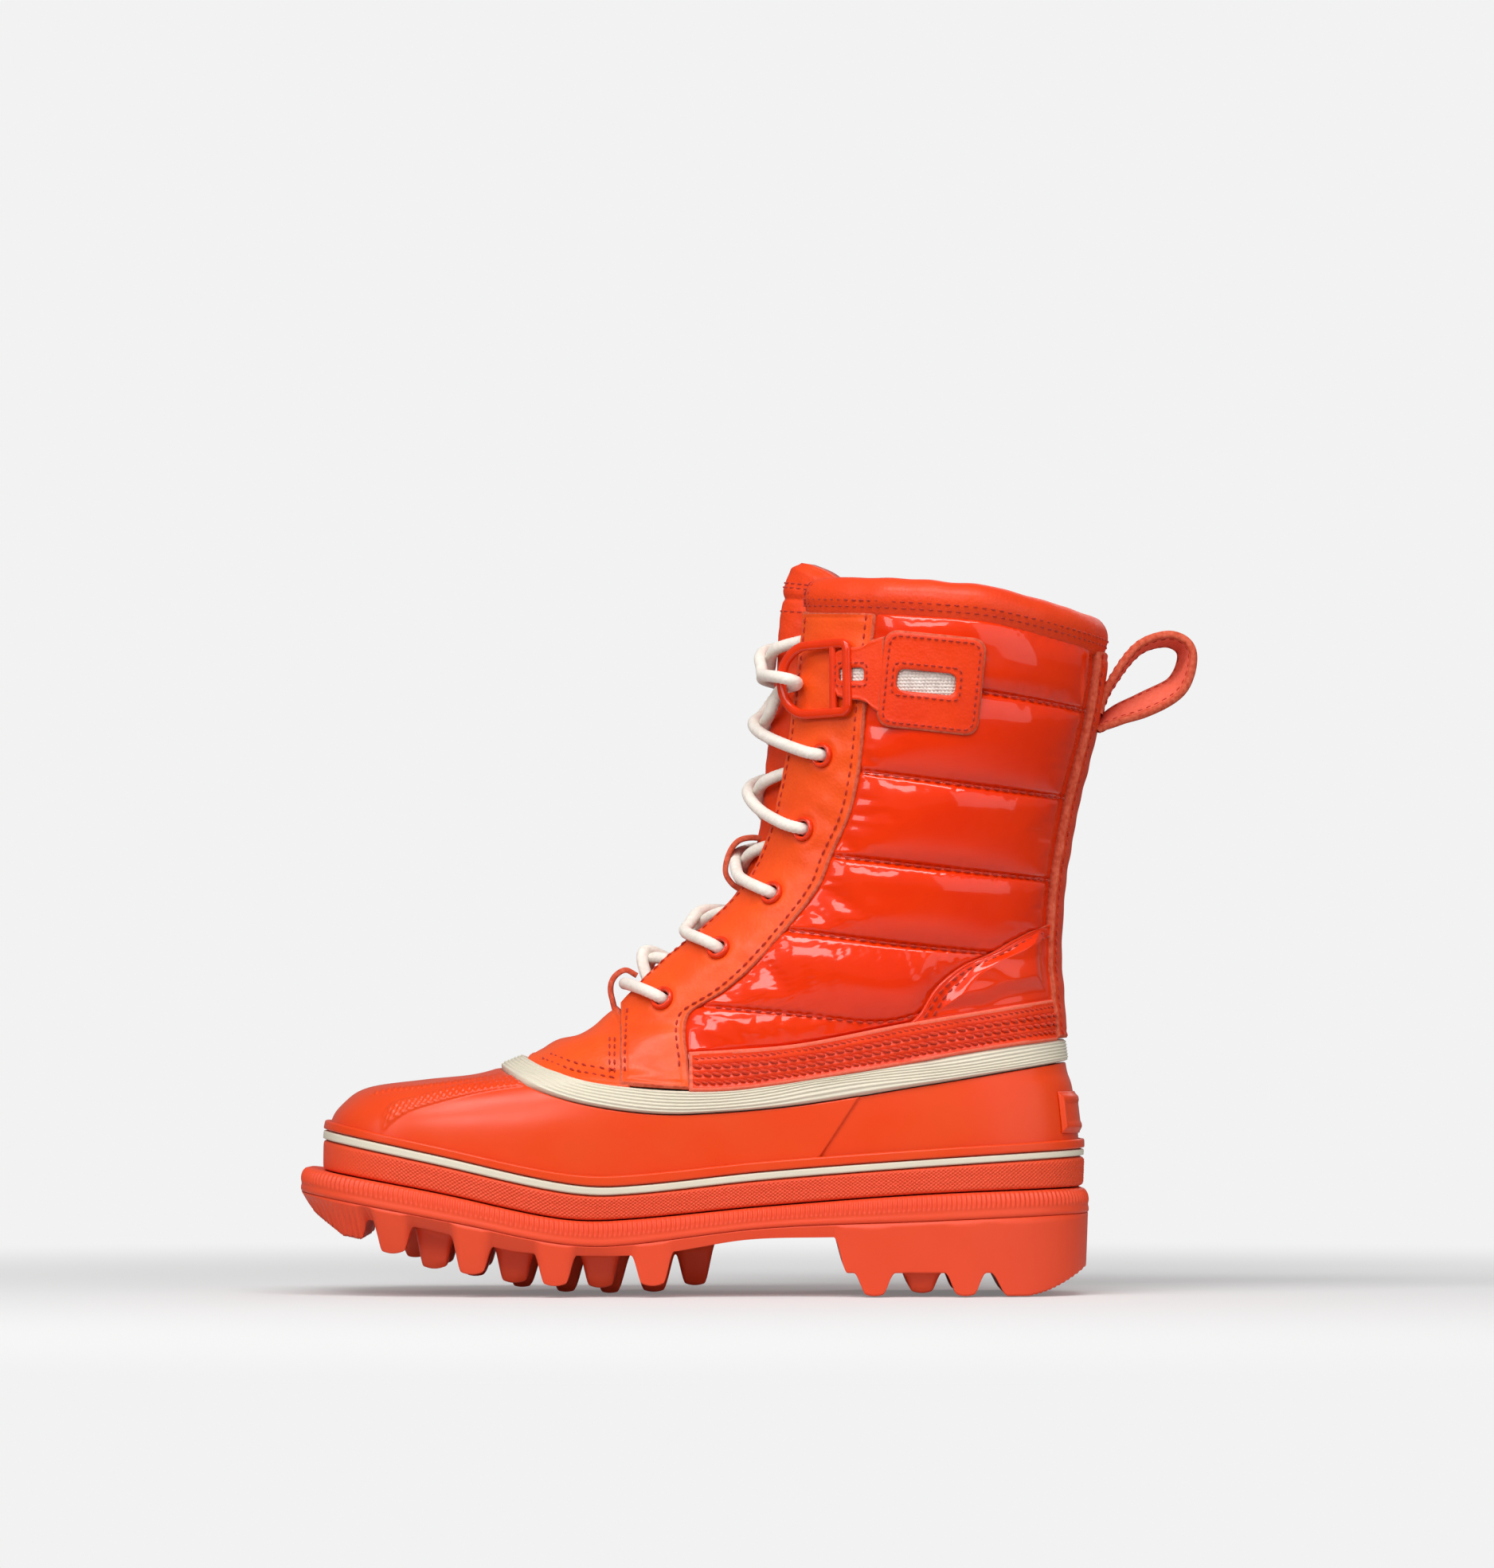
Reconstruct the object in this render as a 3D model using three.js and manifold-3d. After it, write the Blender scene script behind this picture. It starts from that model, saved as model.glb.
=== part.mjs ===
// A left lace-up winter boot: rubber galosh on a lugged outsole, quilted shaft, leather
// facings laced over a tongue, soft collar, felt inner boot. Millimetres, +Z up,
// toe towards -X, outer (lateral) side towards -Y.
import * as THREE from 'three';
import { mergeVertices } from 'three/addons/utils/BufferGeometryUtils.js';
import Module from 'manifold-3d';

const wasm = await Module();
wasm.setup();

// ---- driving dimensions -------------------------------------------------
const GAP = 0.35;                 // clearance between touching pieces
const OUTER = -1;                 // y sign of the lateral side
const INNER = 1;                  // y sign of the medial side
const AROUND = 32;                // steps round a closed ring
const LEATHER = 2.0;              // facing, vamp and mudguard thickness
const QUILT = 3.0;                // quilted shaft panel thickness
const SHELL = 2.4;                // galosh wall
const FELT = 5.0;                 // inner boot wall
const LINER_OUT = -6.4;           // inner boot's outer face, from the upper's face
const TONGUE_THICK = 3.0;
const LACE_R = 2.0;
const EYELET_R = 4.5;
const EYELET_HOLE_R = 3.0;
const RING_WIRE_R = 1.4;
const STRAP_HALF = 8;             // half width of the pull loop strap
const LOOP_THICK = 3.0;
const HALF_GAP_LOW = 9.5;         // half the distance between the facings at the throat
const HALF_GAP_HIGH = 20;         // and at the collar
const HEEL_FRONT = 32.5;          // front face of the heel block
const HEEL_BASE = 8.4;            // underside of the heel block between its lugs
const PATCH_HALF = 0.34;          // half angle of the heel patch, round the heel
const PATCH_LOW = 58.5;
const PATCH_HIGH = 73.5;
const BACK_HALF = 17;             // half width of the backstay
const THROAT = -46.2;             // seam between vamp and facing
const TAB_OFF = 3.4;              // the tab's outer face, from the boot's face
const TAB_THICK = 1.5;
const WEB_OFF = 1.55;             // the webbing's outer face
const WEB_THICK = 0.8;

// Tread blocks: middle x, height of the foot. Their size is [long at the top, long at the
// foot, wide] and `inset` is how far in from the outline their middles lie.
const EDGE_LUGS = { size: [15, 7.5, 15], inset: 8, at: [[-127.6, 15.4], [-99, 8], [-69, 3.9], [-34, 3.9]] };
const INNER_LUGS = { size: [14, 7.5, 14], inset: 22, at: [[-113, 9.6], [-84, 4.6], [-53, 2.8]] };
const MIDDLE_LUGS = {
  size: [13, 8, 18],
  at: [[-121, 13], [-99, 6.2], [-82, 2.2], [-66, 0.4], [-50, 0], [-34, 0.4], [-19, 2.8]],
};
const HEEL_LUGS = { size: [13, 9, 17], inset: 9, at: [[45.9, 0], [78.8, 0]] };
const HEEL_INNER_LUG = { size: [12.5, 9, 30], at: [[63.1, 1]] };
const HEEL_REAR_LUG = { size: [18, 14, 52], at: [[97.5, 0]] };

// Control rings of the boot's outer face, from sole to collar: front point, back point,
// half widths at the ball, the waist and the heel, and the roundness of the ends.
const RINGS = [
  { f: [-152.6, 22], b: [120.2, 20], h: [55.5, 42, 50], p: 0.60 },
  { f: [-153.2, 45], b: [120.6, 39.5], h: [56, 42, 50], p: 0.60 },
  { f: [-152.2, 61.5], b: [121.0, 54.5], h: [55, 41.5, 49.5], p: 0.60 },
  { f: [-147.0, 69.6], b: [120.0, 66.0], h: [52.5, 41, 48.5], p: 0.60 },
  { f: [-138.0, 75.0], b: [118.6, 75.5], h: [49, 40.5, 47], p: 0.62 },
  { f: [-118.0, 77.8], b: [117.0, 80.5], h: [46, 40.2, 46], p: 0.66 },
  { f: [-97.5, 80.2], b: [116.2, 85.0], h: [44.5, 40, 45.4], p: 0.70 },
  { f: [-80.8, 86.0], b: [115.4, 91.0], h: [43.5, 40, 45], p: 0.74 },
  { f: [-68.0, 92.2], b: [114.6, 97.5], h: [42, 40, 44.6], p: 0.78 },
  { f: [-55.0, 97.5], b: [114.0, 104], h: [41, 40.5, 44.3], p: 0.80 },
  { f: [-46.5, 106.0], b: [113.4, 111], h: [41, 41, 44], p: 0.82 },
  { f: [-31.5, 121.5], b: [112.9, 121], h: [41.3, 41.5, 43.5], p: 0.85 },
  { f: [-14.0, 136.5], b: [113.1, 132], h: [42, 42, 43.5], p: 0.88 },
  { f: [-2.5, 149.5], b: [113.8, 145], h: [43, 43.5, 44], p: 0.90 },
  { f: [4.5, 166], b: [115.8, 160], h: [44.5, 45.5, 45], p: 0.92 },
  { f: [9.0, 188], b: [120.0, 182], h: [47, 48, 47], p: 0.95 },
  { f: [12.0, 212], b: [125.8, 205], h: [49.5, 51, 49.5], p: 0.97 },
  { f: [14.8, 234], b: [129.4, 226], h: [51.5, 53, 51.5], p: 1 },
  { f: [16.4, 250], b: [129.6, 238], h: [52, 54, 52], p: 1 },
  { f: [18.2, 262], b: [129.0, 247], h: [52, 54, 52], p: 1 },
];
const STATIONS = [0.25, 0.58, 0.86];   // where along a ring its half widths are measured
const TOE_SWING = 5;                   // how far the toe leans to the medial side
const OUTER_FULL = 0.017;              // how much fuller the galosh is on the lateral side

// ---- curves ---------------------------------------------------------------
const clamp = (x, lo, hi) => Math.min(hi, Math.max(lo, x));
const mix = (a, b, t) => a + (b - a) * t;
const smooth = (a, b, x) => {
  const t = clamp((x - a) / (b - a), 0, 1);
  return t * t * (3 - 2 * t);
};

// Smooth curve through keys [[x, value], ...].
function through(keys, x) {
  const n = keys.length;
  let i = 0;
  while (i < n - 2 && x > keys[i + 1][0]) i += 1;
  const slope = (k) => {
    const a = keys[Math.max(k - 1, 0)];
    const b = keys[Math.min(k + 1, n - 1)];
    return (b[1] - a[1]) / (b[0] - a[0]);
  };
  const [x0, y0] = keys[i];
  const [x1, y1] = keys[i + 1];
  const d = x1 - x0;
  const t = (x - x0) / d;
  if (t < 0) return y0 + slope(i) * (x - x0);
  if (t > 1) return y1 + slope(i + 1) * (x - x1);
  const t2 = t * t;
  const t3 = t2 * t;
  return y0 * (2 * t3 - 3 * t2 + 1) + y1 * (3 * t2 - 2 * t3)
    + slope(i) * d * (t3 - 2 * t2 + t) + slope(i + 1) * d * (t3 - t2);
}

const ringKeys = (pick) => RINGS.map((r, i) => [i, pick(r)]);
const KEYS = {
  fx: ringKeys((r) => r.f[0]),
  fz: ringKeys((r) => r.f[1]),
  bx: ringKeys((r) => r.b[0]),
  bz: ringKeys((r) => r.b[1]),
  h0: ringKeys((r) => r.h[0]),
  h1: ringKeys((r) => r.h[1]),
  h2: ringKeys((r) => r.h[2]),
  p: ringKeys((r) => r.p),
};
const at = (name, v) => through(KEYS[name], v);

// A point of the outer face: v is the ring, a the angle from the toe (0) round the
// lateral side (positive) or the medial side (negative) to the heel (PI).
function face(v, a) {
  const t = (1 - Math.cos(a)) / 2;
  const wide = through([0, 1, 2].map((k) => [STATIONS[k], at(`h${k}`, v)]), t);
  const s = Math.abs(Math.sin(a));
  const side = Math.sin(a) >= 0 ? OUTER : INNER;
  const foot = 1 - smooth(5, 11, v);
  const swing = TOE_SWING * (1 - t) ** 2 * foot;
  const full = 1 - side * OUTER_FULL * foot;
  return new THREE.Vector3(
    mix(at('fx', v), at('bx', v), t),
    side * full * wide * s ** at('p', v) + swing,
    mix(at('fz', v), at('bz', v), t),
  );
}

function normal(v, a) {
  const du = face(v, a + 0.06).sub(face(v, a - 0.06));
  const dv = face(v + 0.08, a).sub(face(v - 0.08, a));
  return du.cross(dv).normalize();
}

const onFace = (v, a, off) => face(v, a).addScaledVector(normal(v, a), off);

// The ring and angle of a side-view place (x, z) on one side.
function locate(x, z, side) {
  let lo = -2;
  let hi = RINGS.length + 1;
  const part = (v) => clamp((x - at('fx', v)) / (at('bx', v) - at('fx', v)), 0, 1);
  for (let i = 0; i < 40; i += 1) {
    const v = (lo + hi) / 2;
    if (mix(at('fz', v), at('bz', v), part(v)) < z) lo = v;
    else hi = v;
  }
  const v = (lo + hi) / 2;
  return [v, Math.acos(1 - 2 * part(v)) * (side === OUTER ? 1 : -1)];
}

const place = (x, z, side, off) => {
  const [v, a] = locate(x, z, side);
  return onFace(v, a, off);
};

// The ring on which a side-view curve z(x) crosses angle a.
function ringAt(curve, a) {
  let lo = -2;
  let hi = RINGS.length + 1;
  for (let i = 0; i < 40; i += 1) {
    const v = (lo + hi) / 2;
    const q = face(v, a);
    if (q.z < curve(q.x)) lo = v;
    else hi = v;
  }
  return (lo + hi) / 2;
}

// ---- closed bodies --------------------------------------------------------
function body(points, faces) {
  let g = new THREE.BufferGeometry();
  g.setAttribute('position', new THREE.Float32BufferAttribute(points.flatMap((q) => [q.x, q.y, q.z]), 3));
  g.setIndex(faces);
  g = mergeVertices(g, 1e-4);
  const index = Array.from(g.index.array);
  const kept = [];
  for (let i = 0; i < index.length; i += 3) {
    const [a, b, c] = index.slice(i, i + 3);
    if (a !== b && b !== c && c !== a) kept.push(a, b, c);
  }
  const pos = g.attributes.position;
  const [A, B, C] = [new THREE.Vector3(), new THREE.Vector3(), new THREE.Vector3()];
  let volume = 0;
  for (let i = 0; i < kept.length; i += 3) {
    A.fromBufferAttribute(pos, kept[i]);
    B.fromBufferAttribute(pos, kept[i + 1]);
    C.fromBufferAttribute(pos, kept[i + 2]);
    volume += A.dot(B.cross(C));
  }
  g.setIndex(volume < 0 ? kept.reverse() : kept);
  g.computeVertexNormals();
  return g;
}

// A plate from two grids of points [i][j], outside and inside, closed at its edges.
function slab(outside, inside) {
  const n = outside.length;
  const m = outside[0].length;
  const points = [...outside.flat(), ...inside.flat()];
  const faces = [];
  const id = (layer, i, j) => layer * n * m + i * m + j;
  const quad = (a, b, c, d) => faces.push(a, b, c, a, c, d);
  for (let i = 0; i < n - 1; i += 1) {
    for (let j = 0; j < m - 1; j += 1) {
      quad(id(0, i, j), id(0, i + 1, j), id(0, i + 1, j + 1), id(0, i, j + 1));
      quad(id(1, i, j), id(1, i, j + 1), id(1, i + 1, j + 1), id(1, i + 1, j));
    }
  }
  for (let i = 0; i < n - 1; i += 1) {
    quad(id(0, i, 0), id(1, i, 0), id(1, i + 1, 0), id(0, i + 1, 0));
    quad(id(0, i, m - 1), id(0, i + 1, m - 1), id(1, i + 1, m - 1), id(1, i, m - 1));
  }
  for (let j = 0; j < m - 1; j += 1) {
    quad(id(0, 0, j), id(0, 0, j + 1), id(1, 0, j + 1), id(1, 0, j));
    quad(id(0, n - 1, j), id(1, n - 1, j), id(1, n - 1, j + 1), id(0, n - 1, j + 1));
  }
  return body(points, faces);
}

// A body from a sequence of rings of points: 'loop' joins the last ring to the first,
// otherwise the first and last rings have shrunk to a line and close by themselves.
function lofted(rings, loop = false, closedRing = true) {
  const m = rings[0].length;
  const faces = [];
  const last = loop ? rings.length : rings.length - 1;
  for (let i = 0; i < last; i += 1) {
    const k = (i + 1) % rings.length;
    for (let j = 0; j < (closedRing ? m : m - 1); j += 1) {
      const l = (j + 1) % m;
      faces.push(i * m + j, k * m + j, k * m + l, i * m + j, k * m + l, i * m + l);
    }
  }
  return body(rings.flat(), faces);
}

// A bar of section points [station][k], with flat ends.
function bar(sections) {
  const m = sections[0].length;
  const n = sections.length;
  const points = sections.flat();
  const faces = [];
  for (let i = 0; i < n - 1; i += 1) {
    for (let k = 0; k < m; k += 1) {
      const l = (k + 1) % m;
      const [a, b, c, d] = [i * m + k, (i + 1) * m + k, (i + 1) * m + l, i * m + l];
      faces.push(a, b, c, a, c, d);
    }
  }
  for (let k = 1; k < m - 1; k += 1) {
    faces.push(0, k, k + 1);
    faces.push((n - 1) * m, (n - 1) * m + k + 1, (n - 1) * m + k);
  }
  return body(points, faces);
}

function solid(geometry) {
  const g = geometry.clone();
  g.deleteAttribute('normal');
  g.deleteAttribute('uv');
  const merged = mergeVertices(g, 1e-4);
  return new wasm.Manifold(new wasm.Mesh({
    numProp: 3,
    vertProperties: new Float32Array(merged.attributes.position.array),
    triVerts: new Uint32Array(merged.index.array),
  }));
}

function geometryOf(manifold) {
  const mesh = manifold.getMesh();
  const g = new THREE.BufferGeometry();
  g.setAttribute('position', new THREE.Float32BufferAttribute(Array.from(mesh.vertProperties), 3));
  g.setIndex(Array.from(mesh.triVerts));
  g.computeVertexNormals();
  return g;
}

const cut = (geometry, tools) => geometryOf(tools.reduce((s, t) => s.subtract(solid(t)), solid(geometry)));
const join = (geometry, more) => geometryOf(more.reduce((s, t) => s.add(solid(t)), solid(geometry)));

// ---- the group and its materials -------------------------------------------
const boot = new THREE.Group();
function add(name, geometry, colour, roughness) {
  const material = new THREE.MeshStandardMaterial({ color: colour, roughness, metalness: 0 });
  const mesh = new THREE.Mesh(geometry, material);
  mesh.name = name;
  boot.add(mesh);
}
const RUBBER = [0xee5a2e, 0.45];
const CREAM = [0xdddbc5, 0.6];
const SKIN = [0xf4561e, 0.5];
const PATENT = [0xe8401a, 0.12];
const GLOSS = [0xf85a10, 0.2];
const WEB = [0xd9d5c8, 0.8];
const LACE = [0xe9e8df, 0.8];
const FELT_GREY = [0xb9b4ac, 0.95];

// ---- side-view seam lines, z as a function of x ------------------------------
const line = (keys) => (x) => through(keys, clamp(x, keys[0][0] - 8, keys[keys.length - 1][0] + 8));
const bumperTop = line([[-156, 45.4], [-111.3, 37.2], [-69.2, 28.3], [-48.4, 27.4], [6.2, 32.3], [64, 36.6], [120, 38.8]]);
const grooveLine = line([[-162, 37.2], [-102.4, 26.1], [-69.2, 19.4], [-48.4, 18.3], [6.2, 24.5], [64, 27], [122, 29.5]]);
const stripeLow = line([[-155, 56.4], [-111, 47.2], [-69.2, 38], [-48.4, 36.4], [6.2, 41.8], [64, 46.4], [121.6, 50.2]]);
const stripeHigh = line([[-155, 60], [-111, 50.7], [-69.2, 41.4], [-48.4, 39.6], [6.2, 44.9], [64, 49.3], [121.6, 52.9]]);
const beadHigh = line([[-152.2, 62.8], [-111, 54], [-69.2, 45], [-48.4, 43.6], [6.2, 48.7], [64, 53], [119, 56.4]]);
const randLow = line([[-89, 81.8], [-82, 77.7], [-72, 73.2], [-58, 69.2], [-38, 66.2], [-20, 65.7], [17, 68.7], [67, 76.7], [117, 84.7]]);
const randHigh = line([[-81, 86.2], [-72, 81.8], [-60, 77.9], [-48, 76], [-25, 74.2], [-3, 74.8], [41, 81.2], [87, 89.2], [117, 93.2]]);
const mudTop = line([[-22, 87.6], [17.1, 90.8], [59.1, 98.7], [113, 107.4]]);
const collarLow = line([[18, 248.4], [70, 244.9], [90.3, 242.7], [131.2, 233.4]]);
const soleBase = line([[-140, 28], [-114, 24], [-84, 16.5], [-50, 14.7], [-29, 15.9], [0, 20.4], [31, 21.3], [125, 23]]);

// ---- rubber: outsole, foxing, galosh -----------------------------------------
const ringAngles = Array.from({ length: AROUND }, (_, j) => (j / AROUND) * Math.PI * 2);
const outline = (a, off) => onFace(0.6, a, off);

// A ring at height z(x) on the sole's plan outline, grown by off.
function soleRing(height, off) {
  return ringAngles.map((a) => {
    const q = outline(a, typeof off === 'function' ? off(a) : off);
    return new THREE.Vector3(q.x, q.y, height(q.x));
  });
}

// The same ring shrunk to a line down the middle of the sole.
function spine(height, off) {
  return ringAngles.map((a) => {
    const x = (outline(a, off).x + outline(-a, off).x) / 2;
    return new THREE.Vector3(x, 0, height(x));
  });
}
const toeGrow = (a) => 4.2 + 5.6 * Math.max(0, Math.cos(a)) ** 6;
const level = (curve, dz) => (x) => curve(x) + dz;

// The heel block: the sole's outline behind HEEL_FRONT, rounded up at the very back.
function heelBlock() {
  const foot = (x) => HEEL_BASE + 4 * smooth(108, 126, x) ** 2;
  const full = lofted([
    spine(level(grooveLine, -5), -2), soleRing(level(grooveLine, -5), toeGrow),
    soleRing(level(foot, 3), toeGrow), soleRing(foot, 2), spine(foot, -2),
  ]);
  const room = new THREE.BoxGeometry(140, 160, 60).translate(HEEL_FRONT + 70, 0, 20);
  return geometryOf(solid(full).intersect(solid(room)));
}

// A lug: a block tapering downwards, from its foot up into the sole.
function lug([x, bottom], y, [topLong, footLong, wide], top) {
  const row = (z, long, k) => [[1, 1], [-1, 1], [-1, -1], [1, -1]].map(([i, j]) => (
    new THREE.Vector3(x + (i * long) / 2, y + (j * k * wide) / 2, z)));
  const shoulder = bottom + 2.2;
  const rise = (shoulder - bottom) / (top - bottom);
  return bar([
    row(bottom, footLong * 0.75, 0.75),
    row(shoulder, mix(footLong, topLong, rise), 1),
    row(top, topLong, 1.05),
  ]);
}

function outsole() {
  const rings = [
    spine(level(soleBase, 2), -14),
    soleRing(level(soleBase, 2), -14),
    soleRing(soleBase, 1.5),
    soleRing(level(grooveLine, -2), toeGrow),
    soleRing(grooveLine, (a) => toeGrow(a) - 0.8),
    soleRing(level(grooveLine, 3), toeGrow),
    soleRing(level(bumperTop, -3), (a) => toeGrow(a) - 0.3),
    soleRing(bumperTop, 1.2),
    soleRing(bumperTop, -6),
    spine(bumperTop, -6),
  ];
  const edge = (x, side, inset) => place(x, 30, side, 3.4 - inset).y;
  const frontTop = (x) => soleBase(x) + 4;
  const heelTop = () => HEEL_BASE + 4;
  const pairs = ({ size, inset, at: spots }, top) => spots.flatMap((spot) => (
    [OUTER, INNER].map((side) => lug(spot, edge(spot[0], side, inset), size, top(spot[0])))));
  const single = ({ size, at: spots }, y, top) => spots.map((spot) => lug(spot, y, size, top(spot[0])));
  const lugs = [
    ...pairs(EDGE_LUGS, frontTop), ...pairs(INNER_LUGS, frontTop), ...single(MIDDLE_LUGS, 2, frontTop),
    ...pairs(HEEL_LUGS, heelTop), ...single(HEEL_INNER_LUG, 0, heelTop), ...single(HEEL_REAR_LUG, 0, heelTop),
  ];
  return join(lofted(rings), [heelBlock(), ...lugs]);
}

// A closed band round the boot between two side-view curves.
function band(low, high, insideOff, outsideOff, gap = GAP / 2) {
  const ring = (curve, off, dz) => ringAngles.map((a) => onFace(ringAt(level(curve, dz), a), a, off));
  return lofted([
    ring(low, insideOff, gap), ring(low, outsideOff, gap),
    ring(high, outsideOff, -gap), ring(high, insideOff, -gap),
  ], true);
}

// The galosh: an open cup whose wall follows the outer face up to the cream band.
function rubberShell() {
  const floorOut = level(bumperTop, GAP);
  const floorIn = level(bumperTop, GAP + 3);
  const wall = (k, off) => ringAngles.map((a) => {
    const low = ringAt(level(bumperTop, 3.6), a);
    const high = ringAt(level(randLow, -GAP), a);
    return onFace(mix(low, high, k), a, off);
  });
  const up = [0, 0.2, 0.45, 0.7, 0.88, 1];
  return lofted([
    spine(floorOut, -3),
    soleRing(floorOut, -3),
    soleRing(level(bumperTop, 0.5), -0.4),
    ...up.map((k) => wall(k, 0)),
    ...[...up].reverse().map((k) => wall(k, -SHELL)),
    soleRing(floorIn, -4.6),
    spine(floorIn, -4.6),
  ]);
}

function heelPatch() {
  const rows = [0, 1];
  const cols = 9;
  const grid = (off) => Array.from({ length: cols }, (_, i) => rows.map((r) => {
    const a = Math.PI + mix(-PATCH_HALF, PATCH_HALF, i / (cols - 1));
    return onFace(ringAt(() => mix(PATCH_LOW, PATCH_HIGH, r), a), a, off);
  }));
  return slab(grid(1.8), grid(0.8));
}

// ---- panels drawn in side view -------------------------------------------------
// A panel between four side-view edges, each a function of 0..1, on one side.
function panel(edges, side, outOff, inOff, columns, rows) {
  const { bottom, top, left, right } = edges;
  const spot = (s, r) => {
    const e = [bottom(s), top(s), left(r), right(r)];
    const c = [bottom(0), bottom(1), top(0), top(1)];
    return [0, 1].map((k) => (1 - r) * e[0][k] + r * e[1][k] + (1 - s) * e[2][k] + s * e[3][k]
      - (1 - s) * (1 - r) * c[0][k] - s * (1 - r) * c[1][k] - (1 - s) * r * c[2][k] - s * r * c[3][k]);
  };
  const grid = (off) => Array.from({ length: columns + 1 }, (_, i) => (
    Array.from({ length: rows + 1 }, (_unused, j) => {
      const [x, z] = spot(i / columns, j / rows);
      return place(x, z, side, off);
    })));
  return slab(grid(outOff), grid(inOff));
}
const straight = (p, q) => (s) => [mix(p[0], q[0], s), mix(p[1], q[1], s)];
const along = (curve, x0, x1) => (s) => [mix(x0, x1, s), curve(mix(x0, x1, s))];

// The facing's front edge keeps a given distance from the middle of the boot.
const halfGap = (z) => mix(HALF_GAP_LOW, HALF_GAP_HIGH, smooth(100, 215, z));
function edgeAtY(z, y, nearBack) {
  let lo = nearBack ? Math.PI / 2 : 0.02;
  let hi = nearBack ? Math.PI - 0.02 : Math.PI / 2;
  for (let i = 0; i < 30; i += 1) {
    const a = (lo + hi) / 2;
    const wide = Math.abs(face(ringAt(() => z, a), a).y) > y;
    if (wide === nearBack) lo = a;
    else hi = a;
  }
  return face(ringAt(() => z, lo), lo).x;
}
const frontEdge = (z0, z1, dy) => (r) => {
  const z = mix(z0, z1, r);
  return [edgeAtY(z, halfGap(z) + dy, false), z];
};
const backEdge = (z0, z1, y) => (r) => {
  const z = mix(z0, z1, r);
  return [edgeAtY(z, y, true), z];
};

const EYESTAY_REAR = [
  [76, -21], [84, -21.8], [101.3, -21.5], [109.6, -9.3], [117.2, -0.1], [133.4, 14.7],
  [148.2, 25.8], [159.3, 30.2], [174.1, 36.8], [192.6, 40.6], [212.3, 42.4], [247, 46.2],
];
const rearX = (z) => through(EYESTAY_REAR, z);

// The facing has a low part beside the vamp and a long part along the lacing.
const EYELETS = [[-30.1, 106.9], [-9.8, 125.1], [9.6, 145.1], [21.1, 168.5], [27.8, 195.2]];

const LOW_ROWS = 1.35;                // rows of the long panels crowd towards the instep

function eyestay(side) {
  const long = panel({
    bottom: straight([THROAT + 0.4, randHigh(THROAT) + GAP], [rearX(76) - GAP, randHigh(-21) + GAP]),
    top: along(level(collarLow, -GAP), edgeAtY(247.5, halfGap(247.5), false), rearX(246) - GAP),
    left: (r) => {
      const z = mix(randHigh(THROAT) + GAP, 247.9, r ** LOW_ROWS);
      return [Math.max(THROAT + 0.4, edgeAtY(z, halfGap(z), false)), z];
    },
    right: (r) => {
      const z = mix(randHigh(-21) + GAP, collarLow(46) - GAP, r ** LOW_ROWS);
      return [rearX(z) - GAP, z];
    },
  }, side, 0, -LEATHER, 3, 22);
  const holes = EYELETS.map(([x, z]) => peg(x, z, side, 4.1, -6, 5, 9));
  return cut(long, holes);
}

// A round peg through the face at a side-view place, from offset a to offset b.
function peg(x, z, side, radius, a, b, sides = 12) {
  const [v, angle] = locate(x, z, side);
  const q = face(v, angle);
  const n = normal(v, angle);
  const g = new THREE.CylinderGeometry(radius, radius, b - a, sides);
  const turn = new THREE.Quaternion().setFromUnitVectors(new THREE.Vector3(0, 1, 0), n);
  g.applyQuaternion(turn);
  const mid = q.addScaledVector(n, (a + b) / 2);
  g.translate(mid.x, mid.y, mid.z);
  return g;
}

function eyelet([x, z], side) {
  const [v, angle] = locate(x, z, side);
  const profile = [
    [EYELET_HOLE_R, -2.4], [3.5, -2.4], [3.5, 0.4], [EYELET_R, 0.4],
    [EYELET_HOLE_R + 0.7, 1.3], [EYELET_HOLE_R, 0.8], [EYELET_HOLE_R, -2.4],
  ].map(([r, h]) => new THREE.Vector2(r, h));
  const g = new THREE.LatheGeometry(profile, 10);
  g.applyQuaternion(new THREE.Quaternion().setFromUnitVectors(new THREE.Vector3(0, 1, 0), normal(v, angle)));
  const q = face(v, angle);
  g.translate(q.x, q.y, q.z);
  return g;
}

function quarter(side) {
  const seam = [[0, 60, 98.4], [0.12, 68, 109.5], [0.22, 78, 117.6], [0.32, 88, 122.6], [0.42, 98, 127.6], [0.5, edgeAtY(136, BACK_HALF + 0.6, true), 136]];
  const upper = (r) => mix(136, 233.2, (r - 0.5) / 0.5);
  const key = (k) => seam.map((row) => [row[0], row[k]]);
  return panel({
    bottom: along(level(mudTop, GAP), -21.2, 60),
    top: along(level(collarLow, -GAP), rearX(246), edgeAtY(234, BACK_HALF + 0.6, true)),
    left: (r) => {
      const z = mix(mudTop(-21.2) + GAP, collarLow(46) - GAP, r ** LOW_ROWS);
      return [rearX(z) + 0.8, z];
    },
    right: (r) => (r < 0.5
      ? [through(key(1), r), Math.max(through(key(2), r), mudTop(through(key(1), r)) + GAP)]
      : [edgeAtY(upper(r), BACK_HALF + 0.6, true), upper(r)]),
  }, side, 0.4, 0.4 - QUILT, 10, 14);
}

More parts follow.
